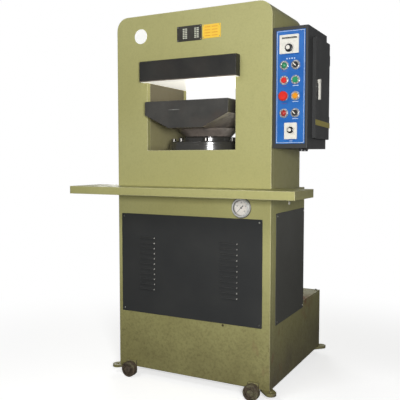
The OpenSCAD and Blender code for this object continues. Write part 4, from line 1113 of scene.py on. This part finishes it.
def crown_badge():
    """A turned disc with a raised rim."""
    mesh = bmesh.new()
    profile = [(0, 0), (BADGE_R, 0), (BADGE_R, 1.4 * PLATE_T), (BADGE_R - 0.4 * BADGE_RIM, 1.9 * PLATE_T),
               (BADGE_R - BADGE_RIM, 1.9 * PLATE_T), (BADGE_R - 1.2 * BADGE_RIM, PLATE_T), (0, PLATE_T)]
    lathe(mesh, board("front", (BADGE_X, FRONT, BADGE_Z)), profile, sides=72)
    piece("crown_badge", mesh, badge_white, "frame")


crown_badge()

# %% [markdown]
# ## Two plates on the crown
#
# Above the window sit two small plates, one black and one yellow. Each is a thin sheet with round corners
# and a rivet near every corner. Drawn on the paint they would cast no shadow, so they are real relief.

# %% Rivet on the two plates
BLACK_X, BLACK_Z = (-66 * MM, 62 * MM), (1605 * MM, 1674 * MM)
YELLOW_X, YELLOW_Z = (66 * MM, 157 * MM), (1609 * MM, 1670 * MM)
PLATE_CORNER, PLATE_CHAMFER = 3 * MM, 0.3 * MM
RIVET_R, RIVET_INSET = 2.4 * MM, 5 * MM
RIVET_PROFILE = [(0, 0), (RIVET_R, 0), (0.9 * RIVET_R, 0.4 * RIVET_R), (0.55 * RIVET_R, 0.65 * RIVET_R),
                 (0, 0.75 * RIVET_R)]

plate_black = moulded("plate_black", screen(44, 42, 34), rough=0.36)
plate_yellow = moulded("plate_yellow", screen(255, 208, 62), rough=0.4, grime=0.04)


def riveted_plate(name, x0, x1, z0, z1, finish, slot):
    """A thin plate with round corners and a rivet near each corner; hands back its board."""
    width, height = x1 - x0, z1 - z0
    at = board("front", ((x0 + x1) / 2, FRONT, (z0 + z1) / 2))
    mesh = bmesh.new()
    prism(mesh, at, plate_outline(width, height, PLATE_CORNER), 0, PLATE_T, PLATE_CHAMFER)
    piece(name, mesh, finish, "frame")
    rivets = bmesh.new()
    x, z = width / 2 - RIVET_INSET, height / 2 - RIVET_INSET
    for side_x in (1, -1):
        for side_z in (1, -1):
            lathe(rivets, at @ Matrix.Translation((side_x * x, side_z * z, PLATE_T)), RIVET_PROFILE, sides=16)
    piece(name + "_rivets", rivets, zinc, "frame")
    return at


black_at = riveted_plate("black_plate", *BLACK_X, *BLACK_Z, plate_black, "black_plastic")
yellow_at = riveted_plate("yellow_plate", *YELLOW_X, *YELLOW_Z, plate_yellow, "yellow_plastic")

# %% [markdown]
# ## Rows of bars on the plates
#
# From a step away, what is printed on such a plate reads as rows of short bars. An image would blur in a
# close view, so each bar is thin relief, and two lists of columns set where they stand.

# %% Print rows of bars on the plates
WHITE_COLUMNS = [(-33 * MM, -24 * MM), (-21 * MM, -11 * MM), (27 * MM, 35 * MM), (38 * MM, 49 * MM)]
ORANGE_COLUMNS = [(-34 * MM, -6 * MM), (2 * MM, 30 * MM)]

pale_ink = moulded("pale_ink", screen(214, 216, 196), rough=0.5, grime=0.1)
orange_ink = moulded("orange_ink", screen(236, 158, 36), rough=0.5, grime=0.05)


def plate_rows(columns, rows, pitch, thick):
    """Rows of short bars in some columns, each a pair of limits across the plate."""
    levels = [(i - (rows - 1) / 2) * pitch for i in range(rows)]
    return [bar(x0, x1, z - thick / 2, z + thick / 2) for x0, x1 in columns for z in levels]


white_rows = plate_rows(WHITE_COLUMNS, rows=6, pitch=8 * MM, thick=5 * MM)
orange_rows = plate_rows(ORANGE_COLUMNS, rows=4, pitch=13 * MM, thick=3 * MM)
printed("black_plate_rows", black_at, white_rows, pale_ink, lift=PLATE_T)
printed("yellow_plate_rows", yellow_at, orange_rows, orange_ink, lift=PLATE_T)

# %% [markdown]
# ## The scale of the gauge
#
# A pressure gauge is a white dial with a ring of ticks. A printed image would be quick, but it blurs close
# up. So the ticks are a loop over angles, each a thin bar turned about the middle, longer at every fifth
# step.

# %% Print the ticks
DIAL_AT, DIAL_WIDTH, _ = front_of("gauge_dial")
DIAL_R = DIAL_WIDTH / 2
TICKS, LONG_TICK_EVERY = 40, 5
SWEEP_START, SWEEP = 225.0, 270.0
TICK_T, TICK_OUTER = 0.15 * MM, 0.94
LONG_TICK_HALF, LONG_TICK_INNER = 0.55 * MM, 0.78
SHORT_TICK_HALF, SHORT_TICK_INNER = 0.3 * MM, 0.85
tick_ink = moulded("tick_ink", screen(40, 40, 40), rough=0.5)


def dial_angle(share):
    """Direction on the board of a share of the scale, clockwise from lower left."""
    return math.radians(SWEEP_START - SWEEP * share)


def dial_ticks():
    """A ring of ticks, every fifth one longer and wider."""
    mesh = bmesh.new()
    for i in range(TICKS + 1):
        half, inner = SHORT_TICK_HALF, SHORT_TICK_INNER
        if i % LONG_TICK_EVERY == 0:
            half, inner = LONG_TICK_HALF, LONG_TICK_INNER
        turned = DIAL_AT @ Matrix.Rotation(dial_angle(i / TICKS), 4, "Z")
        prism(mesh, turned, bar(inner * DIAL_R, TICK_OUTER * DIAL_R, -half, half), 0, TICK_T)
    piece("gauge_ticks", mesh, tick_ink, "frame")


dial_ticks()

# %% [markdown]
# ## Numbers and a red mark
#
# A few numbers stand inside the ticks, and a red mark shows the working limit. Blender text can be turned
# into mesh, which keeps the numbers as crisp as the ticks. The red mark lies a hair above the ticks, so
# that the two don't flicker through each other.

# %% Print the numbers and the red mark
NUMBERS, NUMBER_STEP = 5, 10
NUMBER_SIZE, NUMBER_RING = 0.24 * DIAL_R, 0.6 * DIAL_R
NUMBER_HALF_T, NUMBER_LIFT = 0.07 * MM, 0.1 * MM
RED_MARK_SHARE, RED_MARK_HALF = 0.75, 0.7 * MM
RED_MARK_INNER, RED_MARK_OUTER = 0.8 * DIAL_R, 0.96 * DIAL_R
RED_MARK_LIFT, RED_MARK_T = 0.16 * MM, 0.1 * MM
red_ink = moulded("red_ink", screen(200, 44, 36), rough=0.5)


def number_mesh(text):
    """A number as a flat mesh, centred on its own middle."""
    curve = bpy.data.curves.new("number", "FONT")
    curve.body = text
    curve.size = NUMBER_SIZE
    curve.align_x = "CENTER"
    curve.align_y = "CENTER"
    curve.extrude = NUMBER_HALF_T
    holder = bpy.data.objects.new("number", curve)
    scene.collection.objects.link(holder)
    bpy.context.view_layer.update()
    mesh = bpy.data.meshes.new_from_object(holder.evaluated_get(bpy.context.evaluated_depsgraph_get()))
    bpy.data.objects.remove(holder)
    bpy.data.curves.remove(curve)
    return mesh


def dial_numbers():
    """Upright numbers on a ring inside the ticks."""
    whole = bmesh.new()
    for step in range(NUMBERS):
        angle = dial_angle(step / (NUMBERS - 1))
        spot = (NUMBER_RING * math.cos(angle), NUMBER_RING * math.sin(angle), NUMBER_LIFT)
        mesh = number_mesh(str(NUMBER_STEP * step))
        mesh.transform(DIAL_AT @ Matrix.Translation(spot))
        whole.from_mesh(mesh)
        bpy.data.meshes.remove(mesh)
    piece("gauge_numbers", whole, tick_ink, "frame")


dial_numbers()
printed("gauge_red_mark", DIAL_AT @ Matrix.Rotation(dial_angle(RED_MARK_SHARE), 4, "Z"),
        [bar(RED_MARK_INNER, RED_MARK_OUTER, -RED_MARK_HALF, RED_MARK_HALF)], red_ink,
        lift=RED_MARK_LIFT, thickness=RED_MARK_T)

# %% [markdown]
# ## The line round the panel
#
# The blue panel has a pale line just inside its edge. It could be a mask in the paint, but a mask that
# fine needs exact limits in the shader. Four thin bars take theirs from the box of the panel.

# %% Print the line round the panel
PANEL_LOW, PANEL_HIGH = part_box("control_panel")
PANEL_MID = (PANEL_LOW + PANEL_HIGH) / 2
PANEL_AT, PANEL_W, PANEL_H = front_of("control_panel")
LINE_INSET, LINE_W = 3.0 * MM, 1.8 * MM
panel_ink = moulded("panel_ink", screen(206, 224, 244), rough=0.45, grime=0.05)


def border_lines():
    """Four bars that meet at the corners of the panel."""
    x, z = PANEL_W / 2 - LINE_INSET, PANEL_H / 2 - LINE_INSET
    return [bar(-x, x, z - LINE_W, z), bar(-x, x, -z, LINE_W - z),
            bar(-x, LINE_W - x, LINE_W - z, z - LINE_W), bar(x - LINE_W, x, LINE_W - z, z - LINE_W)]


printed("panel_border", PANEL_AT, border_lines(), panel_ink)

# %% [markdown]
# ## Light bars under the controls
#
# A row of small marks sits under the controller, and short light bars under the controls on the right and
# under the timer. Each takes its place from the control above it, so it would follow if that moved.

# %% Print the bars and marks under the controls
CAPTION_W, CAPTION_T, CAPTION_DROP = 26 * MM, 2.4 * MM, 24 * MM
MARKS, MARK_SIZE, MARK_PITCH = 4, 5.2 * MM, 11 * MM
MARK_SHIFT, MARK_DROP = 6 * MM, 59 * MM
TIMER_W, TIMER_T, TIMER_DROP = 16 * MM, 2 * MM, 42 * MM


def on_panel(node):
    """Where a control sits on the board of the panel."""
    low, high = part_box(node)
    return ((low.x + high.x) / 2 - PANEL_MID.x, (low.z + high.z) / 2 - PANEL_MID.z)


def bar_at(x, z, width, height):
    """A plain rectangle about a point of the board."""
    return bar(x - width / 2, x + width / 2, z - height / 2, z + height / 2)


def light_captions():
    """Bars under the right-hand controls and the timer, and square marks under the controller."""
    bars = []
    for node in ("green_button", "yellow_button", "lower_selector"):
        x, z = on_panel(node)
        bars.append(bar_at(x, z - CAPTION_DROP, CAPTION_W, CAPTION_T))
    x, z = on_panel("controller_case")
    for i in range(MARKS):
        mark_x = x + MARK_SHIFT + (i - (MARKS - 1) / 2) * MARK_PITCH
        bars.append(bar_at(mark_x, z - MARK_DROP, MARK_SIZE, MARK_SIZE))
    x, z = on_panel("timer_case")
    bars.append(bar_at(x, z - TIMER_DROP, TIMER_W, TIMER_T))
    return bars


printed("panel_captions", PANEL_AT, light_captions(), panel_ink)

# %% [markdown]
# ## Dull bars on the left
#
# The controls on the left have bars too, in a purple that hardly stands out from the blue. They need an
# ink of their own, so they are a piece of their own.

# %% Print the dull bars on the left
DIM_W, DIM_T = 24 * MM, 2.4 * MM
DIM_DROP, STOP_DROP = 25 * MM, 30 * MM
LAMP_HALF = 12 * MM
dim_ink = moulded("dim_ink", screen(92, 84, 160), rough=0.5, grime=0.1)


def dim_captions():
    """Dull bars under the upper lamp, the red button and the stop button."""
    x, red_z = on_panel("red_button")
    lamp_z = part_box("panel_lamps")[1].z - PANEL_MID.z - LAMP_HALF
    stop_z = on_panel("stop_button")[1]
    return [bar_at(x, z, DIM_W, DIM_T) for z in (lamp_z - DIM_DROP, red_z - DIM_DROP, stop_z - STOP_DROP)]


printed("panel_dim_captions", PANEL_AT, dim_captions(), dim_ink)

# %% [markdown]
# ## Scales and knob caps
#
# Both instruments on the panel have a ring of ticks round the knob, and the knobs have a pale centre with
# a dark line. The ticks stay with the case, and what sits on the knob rides on it, so the line shows how
# far the knob is turned.

# %% Finish the two instruments
RING_STEPS, RING_LONG_EVERY = 20, 5
RING_TICK_HALF = 0.35 * MM
RING_INNER, RING_SHORT, RING_LONG = 1.15, 1.3, 1.42
CAP_SHARE, CAP_TOP_SHARE, CAP_T = 0.52, 0.85, 1.0 * MM
KNOB_LINE_HALF, KNOB_LINE_T = 0.5 * MM, 0.2 * MM
KNOB_LINE_FROM, KNOB_LINE_TO = 0.2, 0.8


def knob_ring(case, knob):
    """Ticks on a case round the knob that turns on it."""
    case_low, case_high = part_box(case)
    low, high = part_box(knob)
    at = board("front", ((case_low.x + case_high.x) / 2, case_low.y, (low.z + high.z) / 2))
    radius = (high.x - low.x) / 2
    mesh = bmesh.new()
    for i in range(RING_STEPS + 1):
        turned = at @ Matrix.Rotation(dial_angle(i / RING_STEPS), 4, "Z")
        reach = (RING_SHORT if i % RING_LONG_EVERY else RING_LONG) * radius
        prism(mesh, turned, bar(RING_INNER * radius, reach, -RING_TICK_HALF, RING_TICK_HALF), 0, TICK_T)
    piece(case + "_ticks", mesh, tick_ink, "frame")


def knob_cap(knob, body):
    """A pale centre with a dark line on the end of a knob."""
    at, width, _ = front_of(knob)
    radius = CAP_SHARE * width / 2
    mesh = bmesh.new()
    profile = [(0, 0), (radius, 0), (radius, CAP_T / 2), (CAP_TOP_SHARE * radius, CAP_T), (0, CAP_T)]
    lathe(mesh, at, profile, sides=48)
    piece(knob + "_cap", mesh, white_plastic, body)
    line = bar(-KNOB_LINE_HALF, KNOB_LINE_HALF, KNOB_LINE_FROM * radius, KNOB_LINE_TO * radius)
    printed(knob + "_line", at, [line], tick_ink, body, lift=CAP_T, thickness=KNOB_LINE_T)


knob_ring("controller_case", "controller_knob")
knob_ring("timer_case", "timer_knob")
knob_cap("controller_knob", "controller_dial")
knob_cap("timer_knob", "timer_dial")

# %% [markdown]
# ## Scale window and selectors
#
# The temperature controller has a dark slot in which a scale moves, and each selector has a white stripe
# that points where it is set. A dark bar with fine lines on it reads as the slot, and the stripes ride on
# the selectors, so they turn with them.

# %% Lay the scale window and stripe the selectors
WINDOW_T, WINDOW_CORNER = 0.5 * MM, 1.5 * MM
WINDOW_SHIFT, WINDOW_RISE = 0.02, 0.33
WINDOW_W_SHARE, WINDOW_H_SHARE = 0.78, 0.085
SCALE_REACH_SHARE = 0.35
SCALE_LINES, SCALE_LINE_HALF = 25, 0.3 * MM
SCALE_LINE_LOW, SCALE_LINE_HIGH = -2.4 * MM, 0.2 * MM
SELECTOR_TURN = 45.0
STRIPE_HALF, STRIPE_T, STRIPE_REACH_SHARE = 2.0 * MM, 0.5 * MM, 0.36


def scale_window():
    """A dark bar on the controller with a row of fine lines."""
    at, width, height = front_of("controller_case")
    spot = at @ Matrix.Translation((WINDOW_SHIFT * width, WINDOW_RISE * height, 0))
    outline = plate_outline(WINDOW_W_SHARE * width, WINDOW_H_SHARE * height, WINDOW_CORNER)
    printed("scale_window", spot, [outline], black_plastic, thickness=WINDOW_T)
    reach = SCALE_REACH_SHARE * width
    lines = [bar(x - SCALE_LINE_HALF, x + SCALE_LINE_HALF, SCALE_LINE_LOW, SCALE_LINE_HIGH)
             for x in spread_over(-reach, reach, SCALE_LINES)]
    printed("scale_lines", spot, lines, pale_ink, lift=WINDOW_T, thickness=TICK_T)


def selector_stripe(node, body):
    """A white stripe along the grip of a selector."""
    at, width, _ = front_of(node, SELECTOR_TURN)
    half = STRIPE_REACH_SHARE * width
    printed(node + "_stripe", at, [bar(-STRIPE_HALF, STRIPE_HALF, -half, half)], white_plastic,
            body, thickness=STRIPE_T)


scale_window()
selector_stripe("upper_selector", "selector_a")
selector_stripe("lower_selector", "selector_b")

# %% [markdown]
# ## The door of the control box
#
# The door carries a plain yellow strip, a little crooked, as tape is. A band of colour in the paint would
# be flat and straight, so it is a thin sheet with its own finish, which rides on the door.

# %% Stick the strip on the door
DOOR_LOW, DOOR_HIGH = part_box("box_door")
STRIP_H, STRIP_T, STRIP_CORNER = 23 * MM, 0.4 * MM, 1 * MM
STRIP_TILT = -1.6
STRIP_LENGTH_SHARE, STRIP_Y_SHARE, STRIP_Z_SHARE = 0.95, 0.49, 0.156
strip_yellow = moulded("strip_yellow", screen(170, 156, 52), rough=0.45, grime=0.25)


def door_strip():
    """A thin strip across the lower part of the door."""
    depth = DOOR_HIGH.y - DOOR_LOW.y
    rise = STRIP_Z_SHARE * (DOOR_HIGH.z - DOOR_LOW.z)
    middle = (DOOR_HIGH.x, DOOR_LOW.y + STRIP_Y_SHARE * depth, DOOR_LOW.z + rise)
    outline = plate_outline(STRIP_LENGTH_SHARE * depth, STRIP_H, STRIP_CORNER)
    printed("door_strip", board("right", middle, STRIP_TILT), [outline], strip_yellow,
            "door", thickness=STRIP_T)


door_strip()

# %% [markdown]
# ## The size
#
# A dressed part has to fit where the bare solids fit. So the box round the bare solids, measured when they
# were loaded, is printed here.

# %% Print the size of the solids
print("solids from", [round(v, 4) for v in cad_box[0]], "to", [round(v, 4) for v in cad_box[1]])
